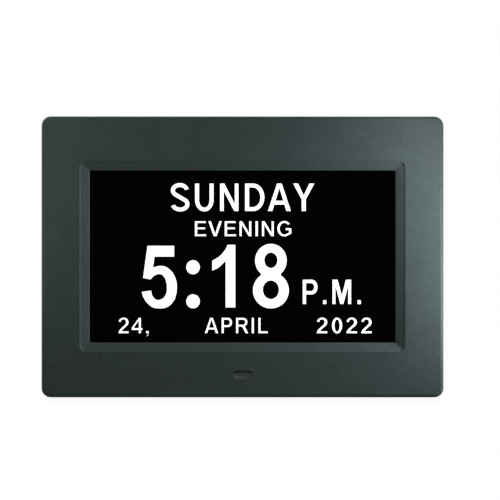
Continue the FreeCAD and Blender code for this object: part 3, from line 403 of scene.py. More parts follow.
def through(*points: Point, steps: int = 5) -> Contour:
    """A smooth open line through points.

    Args:
        points: the points, ends included.
        steps: how many steps it takes from one point to the next.

    Returns:
        The points of the line.
    """
    ends = [points[0], *points, points[-1]]
    line = [points[0]]
    for before, start, end, after in zip(ends, ends[1:], ends[2:], ends[3:]):
        for step in range(1, steps + 1):
            t = step / steps
            shares = (
                (-t + 2 * t**2 - t**3) / 2,
                (2 - 5 * t**2 + 3 * t**3) / 2,
                (t + 4 * t**2 - 3 * t**3) / 2,
                (t**3 - t**2) / 2,
            )
            corners = (before, start, end, after)
            line.append(tuple(sum(s * c[axis] for s, c in zip(shares, corners)) for axis in (0, 1)))
    return line


def pen(path: Contour, wide: float, high: float) -> Contour:
    """The outline of a stroke drawn with an oval pen, with mitred bends and square ends.

    Args:
        path: the middle line of the stroke.
        wide: the thickness of its upright stretches.
        high: the thickness of its level stretches.

    Returns:
        The closed outline.
    """
    squash = wide / high
    line = [Vector((x, y * squash)) for x, y in path]
    sides: tuple[Contour, Contour] = ([], [])
    for i, spot in enumerate(line):
        runs = [after - before for before, after in ((line[i - 1], spot), (spot, line[(i + 1) % len(line)]))]
        runs = runs[1:] if i == 0 else runs[:1] if i == len(line) - 1 else runs
        normals = [Vector((-run.y, run.x)).normalized() for run in runs]
        normal = sum(normals, Vector((0.0, 0.0))).normalized()
        reach = wide / 2 / normal.dot(normals[0])
        for side, sign in zip(sides, (1, -1)):
            edge = spot + normal * reach * sign
            side.append((edge.x, edge.y / squash))
    return sides[0] + sides[1][::-1]


def moved(contour: Contour, scale: Point, shift: Point) -> Contour:
    """A contour scaled and then shifted."""
    return [(x * scale[0] + shift[0], y * scale[1] + shift[1]) for x, y in contour]


def flat_shape(
    name: str, contours: Sequence[Contour], thickness: float, depth: float, slim: float = 0.0
) -> bpy.types.Object:
    """A flat plate with closed outlines, in a plane across y. An outline inside another is a hole.

    Args:
        name: the name of the new object.
        contours: the outlines, as (x, z) points.
        thickness: the plate's thickness.
        depth: the y of the middle of its thickness.
        slim: how much is taken off at every edge.

    Returns:
        The plate.
    """
    curve = bpy.data.curves.new(name, "CURVE")
    curve.dimensions = "2D"
    curve.fill_mode = "BOTH"
    curve.extrude = thickness / 2
    curve.offset = -slim
    for contour in contours:
        spline = curve.splines.new("POLY")
        spline.points.add(len(contour) - 1)
        for point, (x, y) in zip(spline.points, contour):
            point.co = (x, y, 0.0, 1.0)
        spline.use_cyclic_u = True
    plate = bpy.data.objects.new(name, curve)
    bpy.context.scene.collection.objects.link(plate)
    select(plate)
    bpy.ops.object.convert(target="MESH")
    plate = bpy.context.active_object
    settle(plate, Matrix.Translation((0.0, depth, 0.0)) @ Matrix.Rotation(math.pi / 2, 4, "X"))
    face_out(plate)
    return plate


# ---- Shaders ----------------------------------------------------------------------------------------------
class Link:
    """An output socket of a node that takes part in sums and products."""

    def __init__(self, shader: "Shader", socket: bpy.types.NodeSocket) -> None:
        """Wraps one output of a shader's node."""
        self.shader = shader
        self.socket = socket

    def _math(self, operation: str, first: Any, second: Any) -> "Link":
        """One Math node on two values or links."""
        return self.shader.node("ShaderNodeMath", {"operation": operation}, {0: first, 1: second})

    def __add__(self, other: Any) -> "Link":
        """This value plus another."""
        return self._math("ADD", self, other)

    __radd__ = __add__

    def __sub__(self, other: Any) -> "Link":
        """This value less another."""
        return self._math("SUBTRACT", self, other)

    def __rsub__(self, other: Any) -> "Link":
        """Another value less this one."""
        return self._math("SUBTRACT", other, self)

    def __mul__(self, other: Any) -> "Link":
        """This value times another."""
        return self._math("MULTIPLY", self, other)

    __rmul__ = __mul__

    def above(self, limit: float) -> "Link":
        """1 where this value is above a limit, and 0 elsewhere."""
        return self._math("GREATER_THAN", self, limit)

    def wave(self) -> "Link":
        """The sine of this value."""
        return self._math("SINE", self, 0.0)


class Shader:
    """Builds a material, or the light of the world, as a tree of nodes."""

    crispness: float = 0.55  # of every noise's details
    softness: float = 0.6  # of the valleys between cells

    def __init__(self, owner: Owner) -> None:
        """Starts with an empty tree.

        Args:
            owner: the material, or the world, whose tree it is.
        """
        owner.use_nodes = True
        self.owner = owner
        self.tree: bpy.types.NodeTree = owner.node_tree
        self.tree.nodes.clear()

    def node(
        self, kind: str, settings: Mapping[str, Any], sockets: Mapping[Any, Any], output: Any = 0
    ) -> Link:
        """Adds a node.

        Args:
            kind: the node's type.
            settings: its properties, set first, or a ramp's stops.
            sockets: values or links of its input sockets, by name or number.
            output: the output that the result stands for.

        Returns:
            The node's output.
        """
        node = self.tree.nodes.new(kind)
        for key, value in settings.items():
            if key == "stops":
                self._set_stops(node.color_ramp, value)
            else:
                setattr(node, key, value)
        for key, value in sockets.items():
            if isinstance(value, Link):
                self.tree.links.new(value.socket, node.inputs[key])
            else:
                node.inputs[key].default_value = value
        return Link(self, node.outputs[output])

    @staticmethod
    def _set_stops(ramp: bpy.types.ColorRamp, stops: Sequence[Point]) -> None:
        """Gives a ramp its grey stops."""
        while len(ramp.elements) < len(stops):
            ramp.elements.new(0.5)
        for element, (place, grey) in zip(ramp.elements, stops):
            element.position = place
            element.color = (grey, grey, grey, 1.0)

    def place(self, stretch: Sequence[float] = (1.0, 1.0, 1.0)) -> Link:
        """Object coordinates, stretched along the axes."""
        spot = self.node("ShaderNodeTexCoord", {}, {}, "Object")
        return self.node("ShaderNodeMapping", {}, {"Vector": spot, "Scale": stretch})

    def along(self, axis: str) -> Link:
        """One of the object coordinates, X, Y or Z."""
        return self.node("ShaderNodeSeparateXYZ", {}, {"Vector": self.place()}, axis)

    def noise(self, size: float, detail: float = 2.0, stretch: Sequence[float] = (1.0, 1.0, 1.0)) -> Link:
        """Noise about 0.5 with features of a size in metres.

        Args:
            size: the size.
            detail: how many finer layers it has.
            stretch: how much it is squeezed along each axis.

        Returns:
            The noise's link.
        """
        sockets = {"Vector": self.place(stretch), "Scale": 1.0 / size, "Detail": detail}
        sockets["Roughness"] = self.crispness
        return self.node("ShaderNodeTexNoise", {}, sockets, "Fac")

    def cells(self, size: float) -> Link:
        """Distance to the nearest of scattered points, for the pimples of a spark-eroded mould."""
        sockets = {"Vector": self.place(), "Scale": 1.0 / size, "Smoothness": self.softness}
        return self.node("ShaderNodeTexVoronoi", {"feature": "SMOOTH_F1"}, sockets, "Distance")

    def blend(self, share: Any, first: Any, second: Any) -> Link:
        """One colour turning into another by a share."""
        return self.node("ShaderNodeMix", {"data_type": "RGBA"}, {0: share, 6: first, 7: second}, 2)

    def bump(self, height: Link, depth: float) -> Link:
        """A normal for a relief of a depth in metres, from a height between 0 and 1."""
        return self.node("ShaderNodeBump", {}, {"Height": height, "Distance": depth, "Strength": 1.0})

    def output(self, result: Link, kind: str = "ShaderNodeOutputMaterial") -> Owner:
        """Ends the tree in a shader.

        Args:
            result: the shader.
            kind: the type of the end node.

        Returns:
            The material, or the world.
        """
        end = self.tree.nodes.new(kind)
        self.tree.links.new(result.socket, end.inputs["Surface"])
        return self.owner

    def surface(self, sockets: Mapping[str, Any]) -> Owner:
        """Ends the tree in a Principled shader with these sockets and returns the material."""
        return self.output(self.node("ShaderNodeBsdfPrincipled", {}, sockets))


def linear(colour: Colour, shade: float = 1.0) -> tuple[float, float, float, float]:
    """A colour as the renderer takes it.

    Args:
        colour: its red, green and blue, from 0 to 255.
        shade: the factor by which it is made lighter or darker.

    Returns:
        Linear red, green and blue, and a full alpha.
    """
    levels = [channel / 255 for channel in colour]
    parts = [level / 12.92 if level <= 0.04045 else ((level + 0.055) / 1.055) ** 2.4 for level in levels]
    return (parts[0] * shade, parts[1] * shade, parts[2] * shade, 1.0)


# ---- Finishes ---------------------------------------------------------------------------------------------
@dataclass(frozen=True)
class Finish:
    """A moulded, pressed or coated surface of one colour, with its unevenness."""

    name: str
    colour: Colour
    roughness: float = 0.5
    uneven: float = 0.08  # spread of the roughness
    metallic: float = 0.0
    specular: float = 0.5
    mottle: float = 0.08  # how much the colour strays from its mean
    mottle_size: float = 14 * MM
    speck_share: float = 0.6  # of the mottle that comes from small specks and not from patches
    specks: float = 9.0  # how many specks fit across a patch
    grain: float = 0.0  # depth of the surface's relief
    grain_size: float = 0.5 * MM
    stretch: tuple[float, float, float] = (1.0, 1.0, 1.0)

    def tint(self, shader: Shader) -> Link:
        """The colour, a little lighter and darker in soft patches and specks.

        Args:
            shader: the tree that is built.

        Returns:
            The colour's link.
        """
        patches = (1 - self.speck_share) * shader.noise(self.mottle_size, 3.0)
        specks = self.speck_share * shader.noise(self.mottle_size / self.specks, 1.0)
        low, high = linear(self.colour, 1 - self.mottle), linear(self.colour, 1 + self.mottle)
        return shader.blend(patches + specks, low, high)

    def relief(self, shader: Shader) -> Link:
        """The height of the surface's grain."""
        return shader.noise(self.grain_size, 2.0, self.stretch)

    def sheen(self, shader: Shader) -> Link:
        """The roughness, which follows the grain and some larger patches."""
        patches = shader.noise(self.mottle_size / 3, 2.0, self.stretch)
        return (patches - 0.5) * 2 * self.uneven + self.roughness

    def extra(self) -> dict[str, Any]:
        """Sockets of the surface that are the same all over."""
        return {}

    def material(self) -> Owner:
        """Builds the material when it is first asked for.

        Returns:
            The material of the finish.
        """
        done = bpy.data.materials.get(self.name)
        if done:
            return done
        shader = Shader(bpy.data.materials.new(self.name))
        sockets = {
            "Base Color": self.tint(shader),
            "Roughness": self.sheen(shader),
            "Metallic": self.metallic,
            "Specular IOR Level": self.specular,
            **self.extra(),
        }
        if self.grain > 0:
            sockets["Normal"] = shader.bump(self.relief(shader), self.grain)
        return shader.surface(sockets)


@dataclass(frozen=True)
class SparkedPlastic(Finish):
    """Plastic from a spark-eroded mould: a fine even texture of shallow pimples."""

    pimple_share: float = 0.35  # of the relief's depth
    fine_share: float = 0.2
    slow_share: float = 0.45
    slow: float = 4.0  # how much larger the slow grain is than the pimples

    def relief(self, shader: Shader) -> Link:
        """Pimples over a slower and a finer, random grain.

        Args:
            shader: the tree that is built.

        Returns:
            The height's link.
        """
        pimples = self.pimple_share * shader.cells(self.grain_size)
        fine = self.fine_share * shader.noise(self.grain_size / 2, 2.0)
        return pimples + fine + self.slow_share * shader.noise(self.grain_size * self.slow, 2.0)


@dataclass(frozen=True)
class CircuitBoard(Finish):
    """A board with copper tracks under green lacquer."""

    track_pitch: float = 1.1 * MM
    track_edge: float = 0.35  # the height of the wave at which a track begins
    track_lift: float = 0.35  # how much lighter the lacquer is over copper
    field_width: float = 9.0  # of a field of level or of upright tracks, in pitches
    gap_width: float = 4.0  # of a place without tracks, in pitches
    gap_edge: float = 0.45  # the height of the noise below which there are no tracks

    def tint(self, shader: Shader) -> Link:
        """Lacquer that is lighter along the tracks, which run level and upright in turns.

        Args:
            shader: the tree that is built.

        Returns:
            The colour's link.
        """
        turns = shader.noise(self.track_pitch * self.field_width, 0.0).above(0.5)
        level = (shader.along("Z") * (math.tau / self.track_pitch)).wave()
        upright = (shader.along("X") * (math.tau / self.track_pitch)).wave()
        tracks = (turns * level + (1 - turns) * upright).above(self.track_edge)
        shown = tracks * shader.noise(self.track_pitch * self.gap_width, 0.0).above(self.gap_edge)
        plain, copper = linear(self.colour), linear(self.colour, 1 + self.track_lift)
        return shader.blend(shown, plain, copper)


@dataclass(frozen=True)
class Clear(Finish):
    """Clear plastic."""

    passed: float = 0.9  # share of the light that goes through
    refraction: float = 1.49

    def extra(self) -> dict[str, Any]:
        """It lets most of the light through."""
        return {"Transmission Weight": self.passed, "IOR": self.refraction}


@dataclass(frozen=True)
class Lit(Finish):
    """The bright picture elements of the display."""

    strength: float = 1.0

    def extra(self) -> dict[str, Any]:
        """It gives its own light, whatever falls on it."""
        return {"Emission Color": linear(self.colour), "Emission Strength": self.strength}


CASE_PLASTIC = SparkedPlastic(
    "textured_case_plastic", (66, 77, 77), roughness=0.42, specular=0.15, grain=0.03 * MM, mottle=0.38
)
KEY_PLASTIC = SparkedPlastic(
    "satin_key_plastic", (50, 58, 58), roughness=0.42, specular=0.35, grain=0.006 * MM, grain_size=0.35 * MM
)
FILTER_PLASTIC = Finish("infrared_filter_plastic", (86, 95, 90), roughness=0.35, specular=0.3, mottle=0.05)
PRINT = Finish("white_pad_print", (205, 209, 207), roughness=0.55, specular=0.3, mottle=0.04)
RUBBER = Finish("black_foot_rubber", (27, 28, 29), roughness=0.8, specular=0.2, grain=0.02 * MM, mottle=0.15)
DARK_STEEL = Finish(
    "black_oxide_steel", (62, 62, 64), roughness=0.36, metallic=1.0, grain=0.004 * MM, grain_size=0.3 * MM
)
BRIGHT_STEEL = Finish(
    "bright_plated_steel",
    (176, 177, 176),
    roughness=0.3,
    metallic=1.0,
    grain=0.003 * MM,
    grain_size=0.4 * MM,
    stretch=(0.08, 1.0, 1.0),
)
GILT = Finish("gilt_contacts", (206, 170, 92), roughness=0.28, metallic=1.0, mottle=0.05)
PANEL_GLASS = Finish("dark_display_glass", (1, 1, 1), roughness=0.4, uneven=0.03, specular=0.008, mottle=0.2)
LIT = Lit("lit_characters", WHITE, roughness=0.6, specular=0.02, mottle=0.0)
FOAM = Finish("black_foam", (24, 24, 25), roughness=0.95, specular=0.1, grain=0.06 * MM, mottle=0.2)
CHIP = Finish("black_moulded_chip", (33, 34, 36), roughness=0.48, specular=0.4, grain=0.006 * MM)
BOARD = CircuitBoard("green_circuit_board", (22, 84, 49), roughness=0.34, specular=0.5)
WHITE_PLASTIC = Finish("white_moulded_frame", (214, 216, 212), roughness=0.4, mottle=0.03)
CLEAR = Clear("clear_light_guide", (238, 244, 246), roughness=0.08, mottle=0.01)
CAN = Finish(
    "aluminium_capacitor_can",
    (188, 190, 192),
    roughness=0.24,
    metallic=1.0,
    grain=0.002 * MM,
    stretch=(1.0, 0.1, 1.0),
)
AMBER = Finish("amber_flexible_circuit", (176, 116, 30), roughness=0.3, specular=0.5, mottle=0.1)
CABLE = Finish("grey_flat_cable", (122, 124, 126), roughness=0.5, grain=0.03 * MM, stretch=(1.0, 0.05, 0.05))
CONE = Finish("black_paper_cone", (38, 37, 36), roughness=0.88, specular=0.15, grain=0.05 * MM, mottle=0.2)


def hand_over(piece: bpy.types.Object, body: str, finish: Finish) -> None:
    """Dresses a finished piece and hands it to the body that carries it.

    Args:
        piece: the finished object, at the origin.
        body: the body it rides on.
        finish: its finish.
    """
    piece.data.materials.clear()
    piece.data.materials.append(finish.material())
    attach(piece, body)
    log.info("%s rides on %s in %s", piece.name, body, finish.name)


# ---- Lettering --------------------------------------------------------------------------------------------
@dataclass
class Alphabet:
    """Broad, heavy block characters. One unit is the height of a capital."""

    stem: float = 0.205  # thickness of uprights
    bar: float = 0.17  # thickness of level strokes
    gap: float = 0.1  # room beside an upright side
    overshoot: float = 0.016  # how far round characters pass the lines

    def characters(self) -> Glyphs:
        """Every character the display needs."""
        kinds = (self._straight, self._diagonal, self._round, self._figures, self._marks)
        return {name: glyph for kind in kinds for name, glyph in kind().items()}

    def _straight(self) -> Glyphs:
        """Draws the letters of upright and level strokes.

        Returns:
            E, I and L.
        """
        s, b, gap = self.stem, self.bar, self.gap
        middle = 0.61
        arms = [(0.75, 1.0), (0.75, 1 - b), (s, 1 - b), (s, middle), (0.7, middle), (0.7, middle - b)]
        letter_e = [(0.0, 0.0), (0.0, 1.0), *arms, (s, middle - b), (s, b), (0.77, b), (0.77, 0.0)]
        letter_l = [(0.0, 0.0), (0.0, 1.0), (s, 1.0), (s, b), (0.7, b), (0.7, 0.0)]
        return {
            "E": ([letter_e], gap, 0.93),
            "I": ([box(0.0, 0.0, s, 1.0)], gap, 0.2 + 2 * gap),
            "L": ([letter_l], gap, 0.86),
        }

    def _diagonal(self) -> Glyphs:
        """Draws the letters with slanting strokes.

        Returns:
            N, M, A, V and Y.
        """
        s, gap = self.stem, self.gap
        inner = s - 0.015
        letter_n = [(0.0, 0.0), (0.0, 1.0), (s, 1.0), (0.8 - inner, 0.33), (0.8 - inner, 1.0)]
        letter_n += [(0.8, 1.0), (0.8, 0.0), (0.8 - s, 0.0), (inner, 0.66), (inner, 0.0)]
        wide, notch = 0.965, 0.61
        half_m = [(0.0, 0.0), (0.0, 1.0), (0.29, 1.0), (wide / 2, 0.42)]
        valley = [(0.575, 0.0), (0.39, 0.0), (inner, notch), (inner, 0.0)]
        letter_m = half_m + [(wide - x, y) for x, y in half_m[2::-1]]
        letter_m += [(wide - inner, 0.0), (wide - inner, notch), *valley]
        letter_a = [(0.0, 0.0), (0.39, 1.0), (0.61, 1.0), (1.0, 0.0), (0.78, 0.0), (0.695, 0.227)]
        letter_a += [(0.305, 0.227), (0.22, 0.0)]
        hollow_a = [(0.363, 0.395), (0.637, 0.395), (0.5, 0.775)]
        letter_v = [(0.0, 1.0), (0.225, 1.0), (0.467, 0.265), (0.709, 1.0), (0.934, 1.0)]
        letter_v += [(0.577, 0.0), (0.357, 0.0)]
        left, right, fork = 0.467 - s / 2, 0.467 + s / 2, 0.42
        letter_y = [(0.0, 1.0), (0.245, 1.0), (0.467, 0.6), (0.689, 1.0), (0.934, 1.0)]
        letter_y += [(right, fork), (right, 0.0), (left, 0.0), (left, fork)]
        return {
            "N": ([letter_n], gap, 1.0),
            "M": ([letter_m], gap, 1.165),
            "A": ([letter_a, hollow_a], 0.005, 1.01),
            "V": ([letter_v], 0.0, 0.934),
            "Y": ([letter_y], 0.0, 0.934),
        }

    def _round(self) -> Glyphs:
        """Draws the letters with bowls.

        Returns:
            U, D, P, R, S and G.
        """
        s, b, gap, over = self.stem, self.bar, self.gap, self.overshoot
        dish = 0.4
        letter_u = [(0.0, 1.0), *arc((0.403, dish), (0.403, dish + over), 180, 360), (0.806, 1.0)]
        letter_u += [(0.806 - s, 1.0), *arc((0.403, dish), (0.403 - s, dish + over - b), 360, 180), (s, 1.0)]
        letter_d = [(0.0, 0.0), (0.0, 1.0), (0.3, 1.0), *arc((0.36, 0.5), (0.48, 0.5), 90, -90), (0.3, 0.0)]
        hollow_d = [(s, b), (s, 1 - b), *arc((0.34, 0.5), (0.5 - s, 0.5 - b), 90, -90)]
        letter_p = [(0.0, 0.0), (0.0, 1.0), *arc((0.465, 0.69), (0.31, 0.31), 90, -90), (s, 0.38), (s, 0.0)]
        hollow_p = [(s, 0.55), (s, 1 - b), *arc((0.435, 0.69), (0.13, 0.14), 90, -90)]
        letter_r = [(0.0, 0.0), (0.0, 1.0), *arc((0.52, 0.712), (0.31, 0.288), 90, -62)]
        letter_r += [*through((0.69, 0.4), (0.74, 0.29), (0.905, 0.0)), (0.665, 0.0)]
        letter_r += [*through((0.5, 0.28), (0.44, 0.37), (0.385, 0.405), (0.3, 0.415)), (s, 0.415), (s, 0.0)]
        hollow_r = [(s, 0.575), (s, 1 - b), *arc((0.5, 0.7025), (0.125, 0.1275), 90, -90)]
        upper, lower = ((0.405, 0.742), (0.29, 0.19)), ((0.418, 0.258), (0.3, 0.19))
        spine = [*arc(*upper, 4, 238, 18), *arc(*lower, 58, -172, 18)]
        sweep = [*arc((0.475, 0.5), (0.372, 0.43), 37, 304, 26), (0.838, 0.225), (0.838, 0.47), (0.53, 0.47)]
        return {
            "U": ([letter_u], gap, 1.0),
            "D": ([letter_d, hollow_d], gap, 1.0),
            "P": ([letter_p, hollow_p], gap, 0.93),
            "R": ([letter_r, hollow_r], gap, 1.01),
            "S": ([pen(spine, s, b)], 0.05, 0.93),
            "G": ([pen(sweep, s, b)], 0.06, 1.08),
        }

    def _figures(self) -> Glyphs:
        """Draws the figures.

        Returns:
            0, 1, 2, 4, 5 and 8.
        """
        s, b, over = self.stem, self.bar, self.overshoot
        zero = [
            arc((0.328, 0.5), (0.328, 0.5 + over), 0, 360, 36)[:-1],
            arc((0.328, 0.5), (0.328 - s, 0.5 + over - b), 0, 360, 36)[:-1],
        ]
        one = [(0.245, 0.0), (0.44, 0.0), (0.44, 1.0)]
        one += through((0.282, 1.0), (0.24, 0.92), (0.14, 0.82), (0.0, 0.745))
        one += through((0.0, 0.575), (0.13, 0.63), (0.245, 0.725))
        two = [(0.0, 0.0)]
        two += through((0.012, 0.09), (0.07, 0.22), (0.18, 0.35), (0.33, 0.49), (0.44, 0.61), (0.465, 0.71))
        two += [*arc((0.335, 0.715), (0.13, 0.14), 0, 180), (0.205, 0.695), (0.012, 0.715)]
        two += arc((0.345, 0.7), (0.33, 0.316), 172, 0)
        two += through((0.665, 0.62), (0.6, 0.5), (0.47, 0.38), (0.34, 0.26), (0.265, 0.172))
        two += [(0.675, 0.172), (0.675, 0.0)]
        four = [(0.435, 0.0), (0.62, 0.0), (0.62, 0.2), (0.72, 0.2), (0.72, 0.37), (0.62, 0.37), (0.62, 1.0)]
        four += [(0.455, 1.0), (0.0, 0.365), (0.0, 0.2), (0.435, 0.2)]
        hollow_four = [(0.435, 0.37), (0.19, 0.37), (0.435, 0.72)]
        five = [(0.105, 0.985), (0.61, 0.985), (0.61, 0.8), (0.25, 0.8)]
        five += through(
            (0.225, 0.645), (0.34, 0.668), (0.47, 0.645), (0.59, 0.545), (0.655, 0.4), (0.655, 0.24)
        )
        five += through(
            (0.62, 0.13), (0.53, 0.035), (0.42, -0.01), (0.32, -over), (0.19, 0.008), (0.08, 0.09)
        )
        five += through((0.02, 0.18), (0.0, 0.258)) + [(0.185, 0.28)]
        five += through(
            (0.205, 0.2), (0.255, 0.145), (0.33, 0.132), (0.41, 0.17), (0.455, 0.25), (0.458, 0.37)
        )
        five += through((0.43, 0.46), (0.38, 0.51), (0.32, 0.525), (0.24, 0.5), (0.17, 0.44))
        five += [(0.022, 0.465)]
        rings = ((0.3375, 0.745), (0.298, 0.271)), ((0.3375, 0.275), (0.3375, 0.291))
        eight = [
            arc(*rings[0], -55, 235, 30) + arc(*rings[1], 120.5, 419.5, 32),
            arc((0.3375, 0.75), (0.112, 0.115), 0, 360, 24)[:-1],
            arc((0.3375, 0.285), (0.14, 0.14), 0, 360, 24)[:-1],
        ]
        return {
            "0": (zero, 0.06, 0.777),
            "1": ([one], 0.11, 0.777),
            "2": ([two], 0.035, 0.777),
            "4": ([four, hollow_four], 0.03, 0.777),
            "5": ([five], 0.06, 0.777),
            "8": (eight, 0.05, 0.777),
        }

    def _marks(self) -> Glyphs:
        """Draws the marks.

        Returns:
            The stop, the comma and the colon with its round dots.
        """
        s, gap = self.stem, self.gap
        tall = 0.19
        comma = [(0.0, 0.0), (0.0, tall), (s, tall), (s, 0.04)]
        comma += through((0.195, -0.06), (0.14, -0.15), (0.045, -0.2))
        comma += [(0.01, -0.135), (0.09, -0.075), (0.108, 0.0)]
        dots = [arc((0.133, height), (0.133, 0.118), 0, 360, 32)[:-1] for height in (0.103, 0.64)]
        return {
            ".": ([box(0.0, 0.0, s, tall)], gap, 0.39),
            ",": ([comma], gap, 0.39),
            ":": (dots, 0.0, 0.266),
        }


@dataclass(frozen=True)
class Line:
    """One line of lettering, placed from the middle of the screen."""

    text: str
    height: float  # of a capital
    base: float
    middle: float = 0.0
    narrow: float = 1.0  # how much narrower than its drawn width a character is
    spacing: float = 0.0  # extra room between characters, in heights

    def contours(self, alphabet: Glyphs, slim: float) -> list[Contour]:
        """The outlines of the line's characters.

        Args:
            alphabet: the characters' outlines, with their room on the left and advance.
            slim: how much will be taken off at every edge, which is added here to the height.

        Returns:
            Every outline, about the middle of the line.
        """
        found: list[Contour] = []
        reach = 0.0
        for character in self.text:
            shapes, room, advance = alphabet[character]
            found += [moved(shape, (1.0, 1.0), (reach + room, 0.0)) for shape in shapes]
            reach += advance + self.spacing / self.narrow
        low = min(x for contour in found for x, _ in contour)
        high = max(x for contour in found for x, _ in contour)
        high_scale = self.height + 2 * slim
        wide_scale = high_scale * self.narrow
        shift = (self.middle - (low + high) / 2 * wide_scale, self.base - slim)
        return [moved(contour, (wide_scale, high_scale), shift) for contour in found]


# ---- Sub-assemblies ---------------------------------------------------------------------------------------
@dataclass
class Display:
    """The glass panel and the characters that it shows."""

    face: FaceFrame
    relief: float = 0.03 * MM  # how far the lit characters stand on the glass
    slim: float = 0.26 * MM  # taken off every stroke at each side, because bright edges spread
    lines: Sequence[Line] = (
        Line("SUNDAY", 13.9 * MM, 23.1 * MM, 0.1 * MM, narrow=0.85, spacing=0.03),
        Line("EVENING", 7.5 * MM, 10.35 * MM, 0.3 * MM, spacing=0.01),
        Line("5", 31.7 * MM, -25.8 * MM, -42.2 * MM, narrow=0.86),
        Line(":", 31.7 * MM, -25.8 * MM, -25.1 * MM, narrow=0.86),
        Line("1", 31.7 * MM, -25.8 * MM, -9.5 * MM, narrow=0.86),
        Line("8", 31.7 * MM, -25.8 * MM, 14.4 * MM, narrow=0.86),
        Line("P.M.", 12.3 * MM, -24.1 * MM, 45.3 * MM, narrow=0.8, spacing=0.06),
        Line("24,", 7.75 * MM, -38.9 * MM, -55.3 * MM, spacing=0.04),
        Line("APRIL", 7.75 * MM, -38.9 * MM, -3.2 * MM, narrow=0.9, spacing=0.05),
        Line("2022", 7.75 * MM, -38.9 * MM, 51.6 * MM, narrow=1.04, spacing=0.1),
    )

    def build(self) -> None:
        """Lays the characters on the glass."""
        alphabet = Alphabet().characters()
        middle = self.face.middle("screen_gasket")
        glass = self.face.box("lcd_panel")[0].y
        contours = [contour for line in self.lines for contour in line.contours(alphabet, self.slim)]
        placed = [moved(contour, (1.0, 1.0), (middle.x, middle.z)) for contour in contours]
        depth = glass - self.relief / BEDDING
        characters = flat_shape("lit_characters", placed, self.relief, depth, self.slim)
        hand_over(settle(characters, self.face.turn), Body.CASE.value, LIT)


@dataclass
class Housing:
    """The two halves of the case, with their edges eased as a mould leaves them."""

    face: FaceFrame
    recess_edge: float = 0.22 * MM
    slope_edge: float = 0.12 * MM
    frame_reach: float = 6 * MM  # how far from the gasket the sunk frame's edges may lie
    clear: float = 0.4 * MM  # of the face and of the glass, for the edges between the slopes

    def build(self) -> None:
        """Makes both halves."""
        self._front()
        self._rear()

    def _front(self) -> None:
        """The front half, with rounded edges round its sunk frame and the receiver's slot."""
        bezel = copy_node(self.face, "front_bezel", "bezel_moulding")
        front = self.face.box("front_bezel")[0].y
        low, high = self.face.box("screen_gasket")
        reach = Vector((self.frame_reach, 0.0, self.frame_reach))
        start_of_frame, end_of_frame = low - reach, high + reach

        def on_face(start: Vector, end: Vector) -> bool:
            """Whether an edge lies in the plane of the face."""
            return max(abs(start.y - front), abs(end.y - front)) < 2 * HAIR

        def in_recess(start: Vector, end: Vector) -> bool:
            """Whether an edge lies in the sunk frame, between its slopes."""
            return all(
                start_of_frame.x < spot.x < end_of_frame.x
                and start_of_frame.z < spot.z < end_of_frame.z
                and front + self.clear < spot.y < low.y - self.clear
                for spot in (start, end)
            )

        soften(bezel, self.recess_edge, on_face)
        soften(bezel, self.slope_edge, in_recess, segments=2)
        smooth(bezel)
        hand_over(settle(bezel, self.face.turn), Body.CASE.value, CASE_PLASTIC)

    def _rear(self) -> None:
        """The rear half."""
        cover = copy_node(self.face, "rear_cover", "cover_moulding")
        smooth(cover)
        hand_over(settle(cover, self.face.turn), Body.CASE.value, CASE_PLASTIC)


@dataclass
class ReceiverWindow:
    """The dark insert in front of the infrared receiver, whose face tips back in its slot."""

    face: FaceFrame
    tip: float = 15.0  # degrees

    def build(self) -> None:
        """Tips the insert's face about its lower edge."""
        window = copy_node(self.face, "ir_window", "tipped_window")
        low, high = self.face.box("ir_window")
        with editing(window, "VERT") as shape:
            choose(window, [vertex for vertex in shape.verts if vertex.co.y < low.y + HAIR])
            foot = min(vertex.co.z for vertex in shape.verts if vertex.select)
            pivot = ((low.x + high.x) / 2, low.y, foot)
            bpy.ops.transform.rotate(
                value=math.radians(self.tip), orient_axis="X", orient_type="GLOBAL", center_override=pivot
            )
        smooth(window)
        hand_over(settle(window, self.face.turn), Body.CASE.value, FILTER_PLASTIC)


